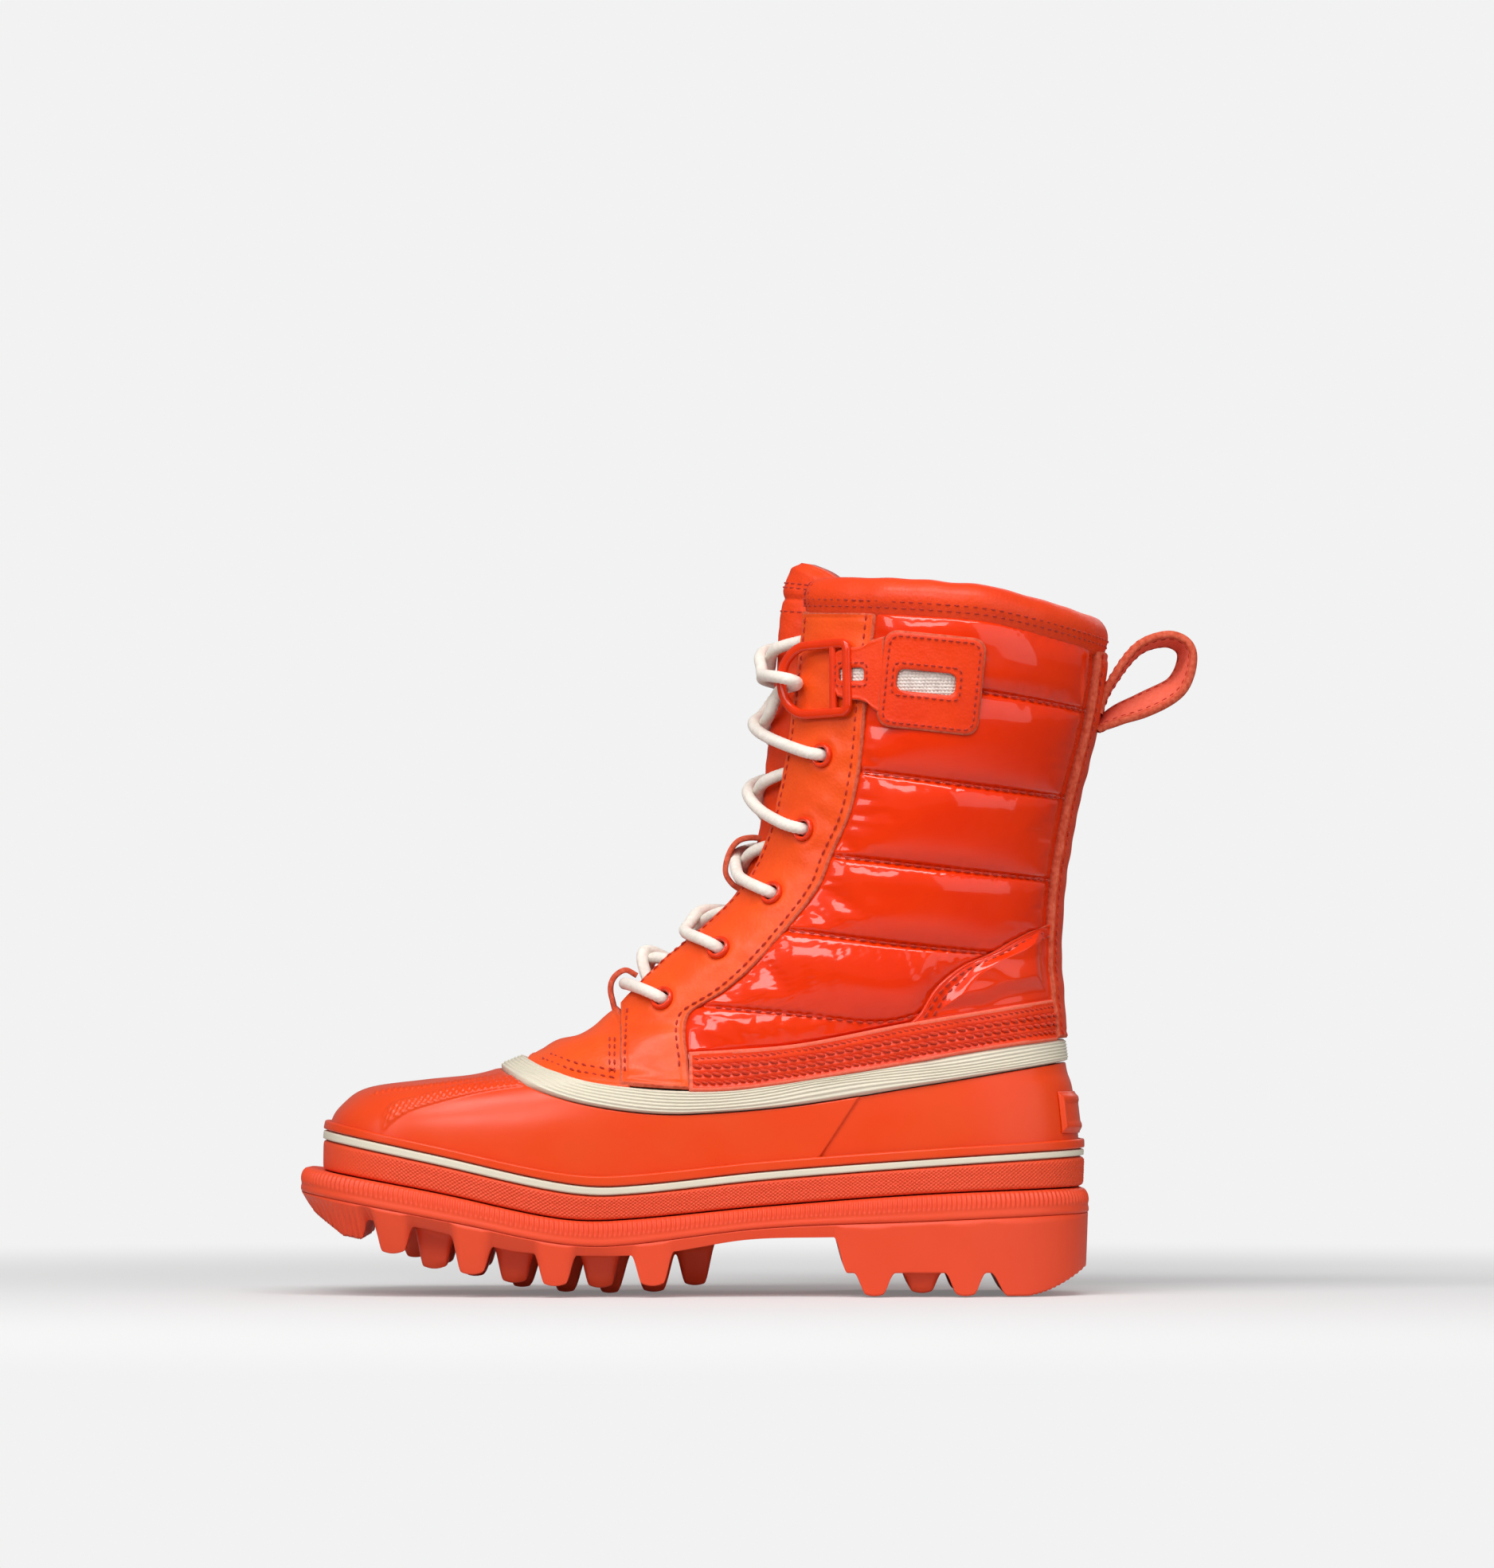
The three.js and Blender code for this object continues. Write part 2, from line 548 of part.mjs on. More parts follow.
function heelCounter(side) {
  const y = BACK_HALF + 0.6;
  const seam = [[0, 61.2, 99.6], [0.3, 69.4, 108.6], [0.6, 79.2, 116], [0.8, 88.4, 121], [1, 97, 125.4]];
  const key = (k) => seam.map((row) => [row[0], row[k]]);
  const zTop = 134.4;
  return panel({
    bottom: along(level(mudTop, GAP), 61.2, edgeAtY(107, y, true)),
    top: straight([97, 125.4], [edgeAtY(zTop, y, true), zTop]),
    left: (r) => [through(key(1), r), through(key(2), r)],
    right: backEdge(mudTop(edgeAtY(107, y, true)) + GAP, zTop, y),
  }, side, 0, -LEATHER, 6, 6);
}

function mudguard(side) {
  const y = BACK_HALF + 0.9;
  const low = edgeAtY(93.8, y, true);
  const high = edgeAtY(107, y, true);
  return panel({
    bottom: along(level(randHigh, GAP), -20.9, low),
    top: along(mudTop, -20.9, high),
    left: straight([-20.9, randHigh(-20.9) + GAP], [-20.9, mudTop(-20.9)]),
    right: backEdge(randHigh(low) + GAP, mudTop(high), y),
  }, side, 0, -LEATHER, 12, 2);
}

// The vamp runs from the band up to the middle line on both sides, back to the throat.
function vamp() {
  const n = 7;
  const m = 6;
  const grid = (off) => Array.from({ length: n + 1 }, (_, i) => Array.from({ length: 2 * m + 1 }, (_u, j) => {
    const s = i / n;
    const r = 1 - Math.abs(j - m) / m;
    const ridge = mix(7.12, 9.15, s);
    if (j === m) return onFace(ridge, 0, off);
    const w = r * (2 - r);
    const x0 = mix(-80.4, THROAT - 0.4, s);
    const z0 = randHigh(x0) + GAP;
    const x = mix(x0, at('fx', ridge), w ** (1 + 3 * s));
    return place(x, mix(z0, at('fz', ridge), w), j < m ? OUTER : INNER, off);
  }));
  return slab(grid(0), grid(-LEATHER));
}

function backstay() {
  const grid = (off) => Array.from({ length: 5 }, (_, i) => Array.from({ length: 13 }, (_u, j) => {
    const z = mix(randHigh(112) + 1.4, 232.6, j / 12);
    const y = mix(-BACK_HALF, BACK_HALF, i / 4);
    const x = edgeAtY(z, Math.max(Math.abs(y), 0.01), true);
    const a = Math.abs(y) < 0.1 ? Math.PI : locate(x, z, y < 0 ? OUTER : INNER)[1];
    const v = ringAt(() => z, a);
    return onFace(v, a, off);
  }));
  return slab(grid(1.6), grid(-LEATHER));
}

// ---- tongue, collar and inner boot ----------------------------------------------
const TONGUE_LOW = 9.35;
const TONGUE_TOP = 19.35;

function tongue() {
  const n = 10;
  const m = 13;
  const grid = (inset) => Array.from({ length: n + 1 }, (_, i) => Array.from({ length: m + 1 }, (_u, j) => {
    const v = mix(TONGUE_LOW, TONGUE_TOP, j / m);
    const half = mix(10, 26, smooth(9, 15, v));
    const y = mix(-half, half, i / n);
    const shape = Math.exp(-((y / mix(7, 13, smooth(9, 15, v))) ** 2));
    const under = mix(-8.4, -10.6, smooth(15.5, 17.5, v));
    const off = mix(under, mix(-3, 2.4, smooth(17, 18.2, v)), shape) - inset;
    const sine = clamp(Math.abs(y) / at('h0', v), 0, 0.95) ** (1 / at('p', v));
    const a = Math.asin(sine) * (y < 0 ? 1 : -1);
    return onFace(v, a, off);
  }));
  return slab(grid(0), grid(TONGUE_THICK));
}

const COLLAR_START = 0.44;           // angle of the collar's front ends

function collar() {
  // section points: offset from the face and height above the collar's lower seam
  const section = [[1.2, 0], [1.6, 6], [0.2, 11], [-3.6, 13.6], [-7.6, 11.4], [-8.8, 6], [-8.2, -2], [-4.2, -3], [-3.4, 0]];
  const count = 26;
  const sections = Array.from({ length: count + 1 }, (_, i) => {
    const a = mix(COLLAR_START, 2 * Math.PI - COLLAR_START, i / count);
    return section.map(([off, rise]) => onFace(ringAt(level(collarLow, rise), a), a, off));
  });
  return bar(sections);
}

function innerBoot() {
  const setBack = (v, a) => LINER_OUT - 13 * smooth(7.4, 9.4, v) * Math.max(0, Math.cos(a)) ** 2;
  const wall = (v, inset) => ringAngles.map((a) => onFace(v, a, setBack(v, a) - inset));
  const levels = [2.3, 3.4, 4.6, 6, 7.6, 9.2, 11, 13.4, 16.6];
  const floorOut = level(bumperTop, 9.2);
  const floorIn = level(bumperTop, 14.2);
  return lofted([
    spine(floorOut, -9),
    soleRing(floorOut, -9),
    soleRing(level(bumperTop, 12), -5),
    ...levels.map((v) => wall(v, 0)),
    ...levels.filter((v) => v > 3).reverse().map((v) => wall(v, FELT)),
    soleRing(floorIn, -15),
    spine(floorIn, -15),
  ]);
}

function insoleBoard(off, z0, z1) {
  return lofted([
    spine(level(bumperTop, z0), off), soleRing(level(bumperTop, z0), off),
    soleRing(level(bumperTop, z1), off), spine(level(bumperTop, z1), off),
  ]);
}

// ---- lace hardware -----------------------------------------------------------------
const RING_MID_Z = 223;
const RING_HALF = 12.5;              // half height of the D-ring, to the wire's middle
const RING_FRONT = 18.5;             // where its bow and its rear bar lie in side view
const RING_BAR = 38;
const RING_FRONT_OFF = 6.8;          // and how far their middles stand off the facing
const RING_BAR_OFF = 3.6;

function tubeAlong(points, radius, steps, sides, closed = false) {
  const curve = new THREE.CatmullRomCurve3(points, closed, 'centripetal');
  const shape = new THREE.Shape(Array.from({ length: sides }, (_, k) => (
    new THREE.Vector2(Math.cos((k / sides) * 2 * Math.PI) * radius, Math.sin((k / sides) * 2 * Math.PI) * radius))));
  const g = new THREE.ExtrudeGeometry(shape, { steps, extrudePath: curve });
  g.deleteAttribute('normal');
  g.deleteAttribute('uv');
  return mergeVertices(g, 1e-3);
}

// The ring stands on the lace at its front and hinges on its straight rear bar.
function ringPlane(side) {
  const q = place(RING_BAR, RING_MID_Z, side, RING_BAR_OFF);
  const axis = place(RING_BAR, RING_MID_Z + 10, side, RING_BAR_OFF).sub(q).normalize();
  const u = place(RING_FRONT, RING_MID_Z, side, RING_FRONT_OFF).sub(q);
  u.addScaledVector(axis, -u.dot(axis)).normalize();
  return (forward, up) => q.clone().addScaledVector(u, forward).addScaledVector(axis, up);
}

function dRing(side) {
  const on = ringPlane(side);
  const reach = RING_BAR - RING_FRONT;
  const bow = Array.from({ length: 9 }, (_, k) => {
    const a = mix(-Math.PI / 2, Math.PI / 2, k / 8);
    return on(reach - RING_HALF + RING_HALF * Math.cos(a), RING_HALF * Math.sin(a));
  });
  const rear = [on(0.6, RING_HALF), on(0, RING_HALF - 1.2), on(0, 0), on(0, 1.2 - RING_HALF), on(0.6, -RING_HALF)];
  const frame = tubeAlong([...rear, ...bow], RING_WIRE_R, 30, 6, true);
  const cross = tubeAlong([on(7, -RING_HALF + 0.6), on(7, RING_HALF - 0.6)], RING_WIRE_R * 0.85, 1, 6);
  return join(frame, [cross]);
}

function tab(side) {
  const plate = panel({
    bottom: straight([50, 208.2], [83, 203.6]),
    top: straight([50, 238.4], [85, 233.6]),
    left: straight([50, 208.2], [50, 238.4]),
    right: straight([83, 203.6], [85, 233.6]),
  }, side, TAB_OFF, TAB_OFF - TAB_THICK, 4, 3);
  const neck = panel({
    bottom: straight([42, 214.8], [51, 212.2]),
    top: straight([42, 233.2], [51, 234.4]),
    left: straight([42, 214.8], [42, 233.2]),
    right: straight([51, 212.2], [51, 234.4]),
  }, side, TAB_OFF - 0.02, TAB_OFF - TAB_THICK + 0.02, 2, 3);
  const slot = [[60, 221, 3.8], [64.5, 220.7, 3.9], [69.5, 220.2, 3.8]].map(([x, z, radius]) => (
    peg(x, z, side, radius, -1, 6)));
  return cut(join(plate, [neck]), slot);
}

function webbing(side) {
  return panel({
    bottom: straight([42, 216.4], [76, 212.4]),
    top: straight([42, 231.4], [76, 227.8]),
    left: straight([42, 216.4], [42, 231.4]),
    right: straight([76, 212.4], [76, 227.8]),
  }, side, WEB_OFF, WEB_OFF - WEB_THICK, 4, 2);
}

// ---- pull loop ------------------------------------------------------------------------
function pullLoop() {
  const path = [
    [133.2, 222.8], [139.6, 232], [145.4, 236.8], [153.6, 239], [159.2, 236.8], [161.2, 232.6],
    [159.6, 225.6], [155.4, 220.2], [144.6, 214.6], [136.4, 211.4], [130.4, 208],
  ].map(([x, z]) => new THREE.Vector3(x, 0, z));
  const curve = new THREE.CatmullRomCurve3(path, false, 'centripetal');
  const count = 22;
  const sections = Array.from({ length: count + 1 }, (_, i) => {
    const q = curve.getPointAt(i / count);
    const t = curve.getTangentAt(i / count);
    const n = new THREE.Vector3(-t.z, 0, t.x);
    const h = LOOP_THICK / 2;
    return [[-STRAP_HALF, -h], [STRAP_HALF, -h], [STRAP_HALF, h], [-STRAP_HALF, h]].map(([y, k]) => (
      q.clone().addScaledVector(n, k).setY(y)));
  });
  return bar(sections);
}

// ---- the lace ----------------------------------------------------------------------------
// A point off the front of the boot at height z, y from the middle.
function over(z, y, off) {
  let a = 0.01;
  for (let i = 0; i < 6; i += 1) {
    const v = ringAt(() => z, a);
    a = Math.asin(clamp(Math.abs(y) / at('h0', v), 0, 0.95) ** (1 / at('p', v)));
  }
  const angle = y < 0 ? a : -a;
  return onFace(ringAt(() => z, angle), angle, off);
}

const OVER = -0.5;                   // the lace's middle over the tongue's crown
const CROSS = 4.5;                   // how much higher the strand on top runs
const UNDER = -4.7;                  // and its middle under a facing
const BAR_Z = 110.5;                 // the bottom bar of the lacing
const BAR_OFF = 3.2;
const KEEPER_HALF = 5;               // half width of the keeper loops
const KEEPER_THICK = 1.2;

// From a hole on one side, over the tongue and under the other facing to hole `to`.
function leg([x0, z0], [x1, z1], side) {
  const lift = side === OUTER ? CROSS : 0;
  const dz = z1 - z0;
  return [
    place(x0, z0, side, -3.4),
    place(x0, z0, side, 1.3),
    place(x0 - 2.8, z0 + 1, side, 4.3),
    over(z0 + dz * 0.26, side * (halfGap(z0) + 1), 2.9),
    over(z0 + dz * 0.4, side * halfGap(z0) * 0.4, OVER + 1.3 + lift * 0.8),
    over(z0 + dz * 0.5, 0, OVER + lift),
    over(z0 + dz * 0.63, -side * halfGap(z1) * 0.5, -1.9 + lift * 0.4),
    over(z0 + dz * 0.78, -side * (halfGap(z1) - 1), -4.5),
    place(x1 - 4.8, z1 - 2.2, -side, UNDER - 0.5),
  ];
}

// Through the D-ring from behind, round its bow, across, and in under the other facing.
function topOfLacing(from, side) {
  const toRing = leg(from, [RING_FRONT, 219], side).slice(0, 7);
  const ring = [[14.4, 219.2, 3.2], [18.6, 220.2, 2.6], [21.8, 221, 4], [22.9, 221.6, 6.8], [21.8, 222.2, 9.6], [18.5, 223, 10.9], [14.6, 224.2, 9.6]];
  const tail = [[25.5, 238.2, -5.2], [32.5, 235.4, -5.8], [37, 228, -6], [38, 216, -6]];
  const back = -side;
  const high = back === OUTER ? CROSS : 0;
  return [
    ...toRing,
    ...ring.map(([x, z, off]) => place(x, z, back, off)),
    over(227, back * halfGap(227) * 0.4, OVER + 1.5 + high),
    over(230.5, 0, OVER + high),
    over(235, side * halfGap(235) * 0.5, -2 + high * 0.4),
    over(238, side * (halfGap(238) - 0.8), -4.7),
    ...tail.map(([x, z, off]) => place(x, z, side, off)),
  ];
}

// Half of the lace, from the middle of the bottom bar up to its tucked-in end.
function laceHalf(start) {
  const [first, second] = EYELETS;
  const points = [
    over(BAR_Z, start * halfGap(BAR_Z) * 0.9, BAR_OFF),
    place(first[0] - 4, first[1] + 1, start, 4.4),
    place(first[0], first[1], start, 1.4),
    place(first[0], first[1], start, -2.8),
    over(114, start * 9.5, -4.4),
    over(120, 0, (start === OUTER ? CROSS : 0) + OVER + 0.8),
    over(123.5, -start * 10.5, -4.4),
    place(second[0] - 5.4, second[1] - 3.4, -start, UNDER - 0.3),
  ];
  let side = -start;
  for (let k = 1; k < EYELETS.length - 1; k += 1) {
    points.push(...leg(EYELETS[k], EYELETS[k + 1], side));
    side = -side;
  }
  points.push(...topOfLacing(EYELETS[4], side));
  return points;
}

function lace() {
  const middle = over(BAR_Z, 0, BAR_OFF);
  const route = [...laceHalf(OUTER).reverse(), middle, ...laceHalf(INNER)];
  return tubeAlong(route, LACE_R, 230, 7);
}

// A keeper: a narrow leather loop sewn to the tongue and standing over the lace. Its path
// is given up the boot and off the face, from a point on the middle line.
function keeper(z, off, path) {
  const v = ringAt(() => z, 0);
  const n = normal(v, 0);
  const up = new THREE.Vector3(n.z, 0, -n.x);
  const start = onFace(v, 0, off);
  const spot = ([rise, out]) => start.clone().addScaledVector(up, rise).addScaledVector(n, out);
  const curve = new THREE.CatmullRomCurve3(path.map(spot), false, 'centripetal');
  const count = 14;
  return bar(Array.from({ length: count + 1 }, (_, i) => {
    const q = curve.getPointAt(i / count);
    const t = curve.getTangentAt(i / count);
    const across = new THREE.Vector3(-t.z, 0, t.x);
    const h = KEEPER_THICK / 2;
    return [[-1, -h], [1, -h], [1, h], [-1, h]].map(([y, k]) => (
      q.clone().addScaledVector(across, k).setY(y * KEEPER_HALF)));
  }));
}
const LOW_KEEPER = [[-9, -5], [-6.4, -2], [-4.2, 1.2], [-2.4, 2.9], [0.6, 3.4], [3, 2.4], [3.9, -0.4]];
const HIGH_KEEPER = [[-10.4, -3], [-9.4, 0.8], [-6.4, 4.6], [0, 5.9], [5.6, 4.8], [8.8, 1], [10.4, -4]];

function aglet(side) {
  return tubeAlong([[37.9, 213.6], [37.4, 204], [36.2, 193]].map(([x, z]) => place(x, z, side, -6)), 1.7, 2, 8);
}

add('outsole', outsole(), ...RUBBER);
add('rubber_shell', rubberShell(), ...RUBBER);
add('foxing_band', band(level(bumperTop, 0.2), stripeLow, 0.45, 2.4), ...RUBBER);
add('foxing_stripe', band(stripeLow, stripeHigh, 0.45, 2.0), ...CREAM);
add('foxing_bead', band(stripeHigh, beadHigh, 0.45, 2.2), ...RUBBER);
add('rand_band', band(randLow, randHigh, -SHELL, 1.4, GAP), ...CREAM);
add('heel_patch', heelPatch(), ...RUBBER);
add('vamp', vamp(), ...SKIN);
for (const [word, side] of [['outer', OUTER], ['inner', INNER]]) {
  add(`eyestay_${word}`, eyestay(side), ...SKIN);
  add(`quarter_${word}`, quarter(side), ...PATENT);
  add(`heel_counter_${word}`, heelCounter(side), ...SKIN);
  add(`mudguard_${word}`, mudguard(side), ...SKIN);
  EYELETS.forEach((spot, k) => add(`eyelet_${word}_${k + 1}`, eyelet(spot, side), ...GLOSS));
  add(`d_ring_${word}`, dRing(side), ...GLOSS);
  add(`ring_tab_${word}`, tab(side), ...SKIN);
  add(`webbing_${word}`, webbing(side), ...WEB);
}
add('backstay', backstay(), ...SKIN);
add('collar', collar(), ...SKIN);
add('tongue', tongue(), ...SKIN);
add('inner_boot', innerBoot(), ...FELT_GREY);
add('midsole_board', insoleBoard(-7.5, 3.9, 8.6), ...FELT_GREY);
add('footbed', insoleBoard(-17, 14.7, 18.2), ...FELT_GREY);
add('pull_loop', pullLoop(), ...SKIN);
add('keeper_lower', keeper(BAR_Z, BAR_OFF, LOW_KEEPER), ...SKIN);
add('keeper_upper', keeper(156.8, 1.8, HIGH_KEEPER), ...SKIN);
add('lace', lace(), ...LACE);
add('aglet_outer', aglet(OUTER), ...GLOSS);
add('aglet_inner', aglet(INNER), ...GLOSS);

export default boot;
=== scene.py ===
"""Looks of a left lace-up winter boot. All shapes are worked out in millimetres in the
boot's own frame (toe -X, outer side -Y, sole at Z 0) and turned into metres on the mesh."""
import math

import bmesh
import bpy
import numpy as np
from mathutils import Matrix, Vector

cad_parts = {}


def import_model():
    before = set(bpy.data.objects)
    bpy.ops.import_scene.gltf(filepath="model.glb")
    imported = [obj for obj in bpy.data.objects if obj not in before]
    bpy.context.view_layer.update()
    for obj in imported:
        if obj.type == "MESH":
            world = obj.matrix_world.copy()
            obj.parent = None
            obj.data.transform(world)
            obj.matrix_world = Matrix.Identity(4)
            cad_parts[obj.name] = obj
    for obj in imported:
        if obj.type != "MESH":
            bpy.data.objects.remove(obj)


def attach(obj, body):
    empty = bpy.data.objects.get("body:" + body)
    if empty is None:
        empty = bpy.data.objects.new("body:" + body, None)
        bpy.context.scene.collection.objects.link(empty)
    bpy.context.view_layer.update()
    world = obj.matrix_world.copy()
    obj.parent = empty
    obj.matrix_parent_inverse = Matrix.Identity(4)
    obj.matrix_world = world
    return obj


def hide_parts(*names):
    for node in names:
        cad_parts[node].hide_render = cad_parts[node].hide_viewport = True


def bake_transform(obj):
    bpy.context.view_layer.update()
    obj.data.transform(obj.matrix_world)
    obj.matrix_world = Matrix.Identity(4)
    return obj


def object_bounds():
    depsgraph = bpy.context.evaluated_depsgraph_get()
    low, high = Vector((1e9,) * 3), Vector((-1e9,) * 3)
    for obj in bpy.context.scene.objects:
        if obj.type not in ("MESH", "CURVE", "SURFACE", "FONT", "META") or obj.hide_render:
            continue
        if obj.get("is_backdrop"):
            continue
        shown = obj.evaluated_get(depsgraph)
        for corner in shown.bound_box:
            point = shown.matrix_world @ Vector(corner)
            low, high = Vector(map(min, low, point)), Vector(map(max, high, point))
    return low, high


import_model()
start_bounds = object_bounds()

MM = 0.001
OUTER, INNER = -1, 1
SIDES = (("outer", OUTER), ("inner", INNER))
TAU = 2 * math.pi

# ---- the boot's outer face ------------------------------------------------------
# front x, z; back x, z; half widths at the ball, the waist and the heel; end roundness
RINGS = np.array([
    [-152.6, 22, 120.2, 20, 55.5, 42, 50, 0.60],
    [-153.2, 45, 120.6, 39.5, 56, 42, 50, 0.60],
    [-152.2, 61.5, 121, 54.5, 55, 41.5, 49.5, 0.60],
    [-147, 69.6, 120, 66, 52.5, 41, 48.5, 0.60],
    [-138, 75, 118.6, 75.5, 49, 40.5, 47, 0.62],
    [-118, 77.8, 117, 80.5, 46, 40.2, 46, 0.66],
    [-97.5, 80.2, 116.2, 85, 44.5, 40, 45.4, 0.70],
    [-80.8, 86, 115.4, 91, 43.5, 40, 45, 0.74],
    [-68, 92.2, 114.6, 97.5, 42, 40, 44.6, 0.78],
    [-55, 97.5, 114, 104, 41, 40.5, 44.3, 0.80],
    [-46.5, 106, 113.4, 111, 41, 41, 44, 0.82],
    [-31.5, 121.5, 112.9, 121, 41.3, 41.5, 43.5, 0.85],
    [-14, 136.5, 113.1, 132, 42, 42, 43.5, 0.88],
    [-2.5, 149.5, 113.8, 145, 43, 43.5, 44, 0.90],
    [4.5, 166, 115.8, 160, 44.5, 45.5, 45, 0.92],
    [9, 188, 120, 182, 47, 48, 47, 0.95],
    [12, 212, 125.8, 205, 49.5, 51, 49.5, 0.97],
    [14.8, 234, 129.4, 226, 51.5, 53, 51.5, 1],
    [16.4, 250, 129.6, 238, 52, 54, 52, 1],
    [18.2, 262, 129, 247, 52, 54, 52, 1],
])
STATIONS = (0.25, 0.58, 0.86)         # shares from toe to heel of the three half widths
TOE_SWING = 5                         # how far the toe leans to the inner side, mm
OUTER_FULL = 0.017                    # share by which the outer side of the foot is fuller
FOOT_TOP = (5, 11)                    # the rings over which the foot's shape turns into the leg's


def smooth(a, b, x):
    """A soft step from 0 at a to 1 at b."""
    t = np.clip((x - a) / (b - a), 0, 1)
    return t * t * (3 - 2 * t)


def mix(a, b, t):
    return a + (b - a) * t


def hermite(c, step, y0, y1, m0, m1):
    """A cubic from y0 to y1 with slopes m0 and m1, at share c of a step."""
    c2, c3 = c * c, c * c * c
    return (y0 * (2 * c3 - 3 * c2 + 1) + y1 * (3 * c2 - 2 * c3)
            + step * (m0 * (c3 - 2 * c2 + c) + m1 * (c3 - c2)))


def through(keys):
    """A smooth curve through (x, value) keys, straight beyond its ends."""
    x, y = np.array(keys, float).T
    slope = np.gradient(y, x)
    slope[1:-1] = (y[2:] - y[:-2]) / (x[2:] - x[:-2])

    def value(q):
        q = np.asarray(q, float)
        i = np.clip(np.searchsorted(x, q, side="right") - 1, 0, len(x) - 2)
        d = x[i + 1] - x[i]
        t = (q - x[i]) / d
        mid = hermite(np.clip(t, 0, 1), d, y[i], y[i + 1], slope[i], slope[i + 1])
        mid = mid + np.where(t < 0, slope[i] * (q - x[i]), 0)
        return mid + np.where(t > 1, slope[i + 1] * (q - x[i + 1]), 0)

    return value


def line(*keys, beyond=8):
    """The same, held level from `beyond` mm past its ends."""
    f = through(keys)
    return lambda x: f(np.clip(x, keys[0][0] - beyond, keys[-1][0] + beyond))


V_LOW, V_HIGH = -2.0, 21.0            # the rings between which places are looked for
V_STEPS = np.arange(V_LOW - 1, V_HIGH + 2, 0.01)
COLUMNS = [through(np.column_stack([np.arange(len(RINGS)), c]))(V_STEPS) for c in RINGS.T]
FX, FZ, BX, BZ, H0, H1, H2, ROUND = range(8)
DIFF_A, DIFF_V = 0.06, 0.08           # steps of angle and ring that the normal is measured over


def at(column, v):
    """A column of RINGS at the rings v."""
    return np.interp(v, V_STEPS, COLUMNS[column])


def half_width(v, t):
    """The width through the three stations of ring v, at share t from toe to heel."""
    h0, h1, h2 = at(H0, v), at(H1, v), at(H2, v)
    s0, s1, s2 = STATIONS
    first = (h1 - h0) / (s1 - s0)
    middle = (h2 - h0) / (s2 - s0)
    last = (h2 - h1) / (s2 - s1)
    low = t < s1
    a, b = np.where(low, s0, s1), np.where(low, s1, s2)
    ya, yb = np.where(low, h0, h1), np.where(low, h1, h2)
    ma, mb = np.where(low, first, middle), np.where(low, middle, last)
    q = (t - a) / (b - a)
    out = hermite(np.clip(q, 0, 1), b - a, ya, yb, ma, mb)
    return out + np.where(q < 0, ma * (t - a), 0) + np.where(q > 1, mb * (t - b), 0)


def face(v, a):
    """Points of the outer face: v is the ring, a the angle from the toe round the outer side."""
    v, a = np.broadcast_arrays(np.asarray(v, float), np.asarray(a, float))
    t = (1 - np.cos(a)) / 2
    side = np.where(np.sin(a) >= 0, OUTER, INNER)
    foot = 1 - smooth(*FOOT_TOP, v)
    wide = half_width(v, t) * np.abs(np.sin(a)) ** at(ROUND, v)
    x = mix(at(FX, v), at(BX, v), t)
    y = side * (1 - side * OUTER_FULL * foot) * wide + TOE_SWING * (1 - t) ** 2 * foot
    return np.stack([x, y, mix(at(FZ, v), at(BZ, v), t)], -1)


def unit(d):
    return d / np.maximum(np.linalg.norm(d, axis=-1, keepdims=True), 1e-12)


def normal(v, a):
    """The outward direction of the face."""
    du = face(v, a + DIFF_A) - face(v, a - DIFF_A)
    dv = face(v + DIFF_V, a) - face(v - DIFF_V, a)
    return unit(np.cross(du, dv))


def on_face(v, a, off):
    """Points `off` mm outside the face."""
    v, a, off = np.broadcast_arrays(np.asarray(v, float), a, off)
    return face(v, a) + normal(v, a) * off[..., None]


def halved(shape, lo, hi, below, rounds=24):
    """Bisection: the range in which below(value) stops being true, as (low, high)."""
    lo, hi = np.full(shape, lo), np.full(shape, hi)
    for _ in range(rounds):
        mid = (lo + hi) / 2
        low = below(mid)
        lo, hi = np.where(low, mid, lo), np.where(low, hi, mid)
    return lo, hi


def locate(x, z, side):
    """The ring and angle of side-view places (x, z) on one side."""
    x, z = np.broadcast_arrays(np.asarray(x, float), np.asarray(z, float))

    def part(v):
        front = at(FX, v)
        return np.clip((x - front) / (at(BX, v) - front), 0, 1)

    lo, hi = halved(x.shape, V_LOW, V_HIGH, lambda v: mix(at(FZ, v), at(BZ, v), part(v)) < z)
    v = (lo + hi) / 2
    return v, np.arccos(1 - 2 * part(v)) * (1 if side == OUTER else -1)


def place(x, z, side, off):
    """The point `off` mm outside the face at a side-view place."""
    v, a = locate(x, z, side)
    return on_face(v, a, off)


def ring_at(curve, a):
    """The rings on which a side-view curve z(x) crosses the angles a."""
    a = np.asarray(a, float)

    def below(v):
        q = face(v, a)
        return q[..., 2] < curve(q[..., 0])

    lo, hi = halved(a.shape, V_LOW, V_HIGH, below)
    return (lo + hi) / 2


def ring_at_height(z, a):
    """The rings at height z at the angles a."""
    return ring_at(lambda x: z, a)


def angle_of(v, y):
    """The angle, at the toe end of ring v, of places y off the boot's middle."""
    return np.arcsin(np.clip(np.abs(y) / at(H0, v), 0, 0.95) ** (1 / at(ROUND, v)))


def front_angle(z, y):
    """The angle at which the front of the boot is y off its middle at height z."""
    z, y = np.broadcast_arrays(np.asarray(z, float), np.asarray(y, float))
    a = np.full(z.shape, 0.01)
    for _ in range(6):
        a = angle_of(ring_at_height(z, a), y)
    a = np.where(y < 0, a, -a)
    return ring_at_height(z, a), a


def over(z, y, off):
    """The point `off` mm outside the front of the boot at height z, y off its middle."""
    v, a = front_angle(z, y)
    return on_face(v, a, off)


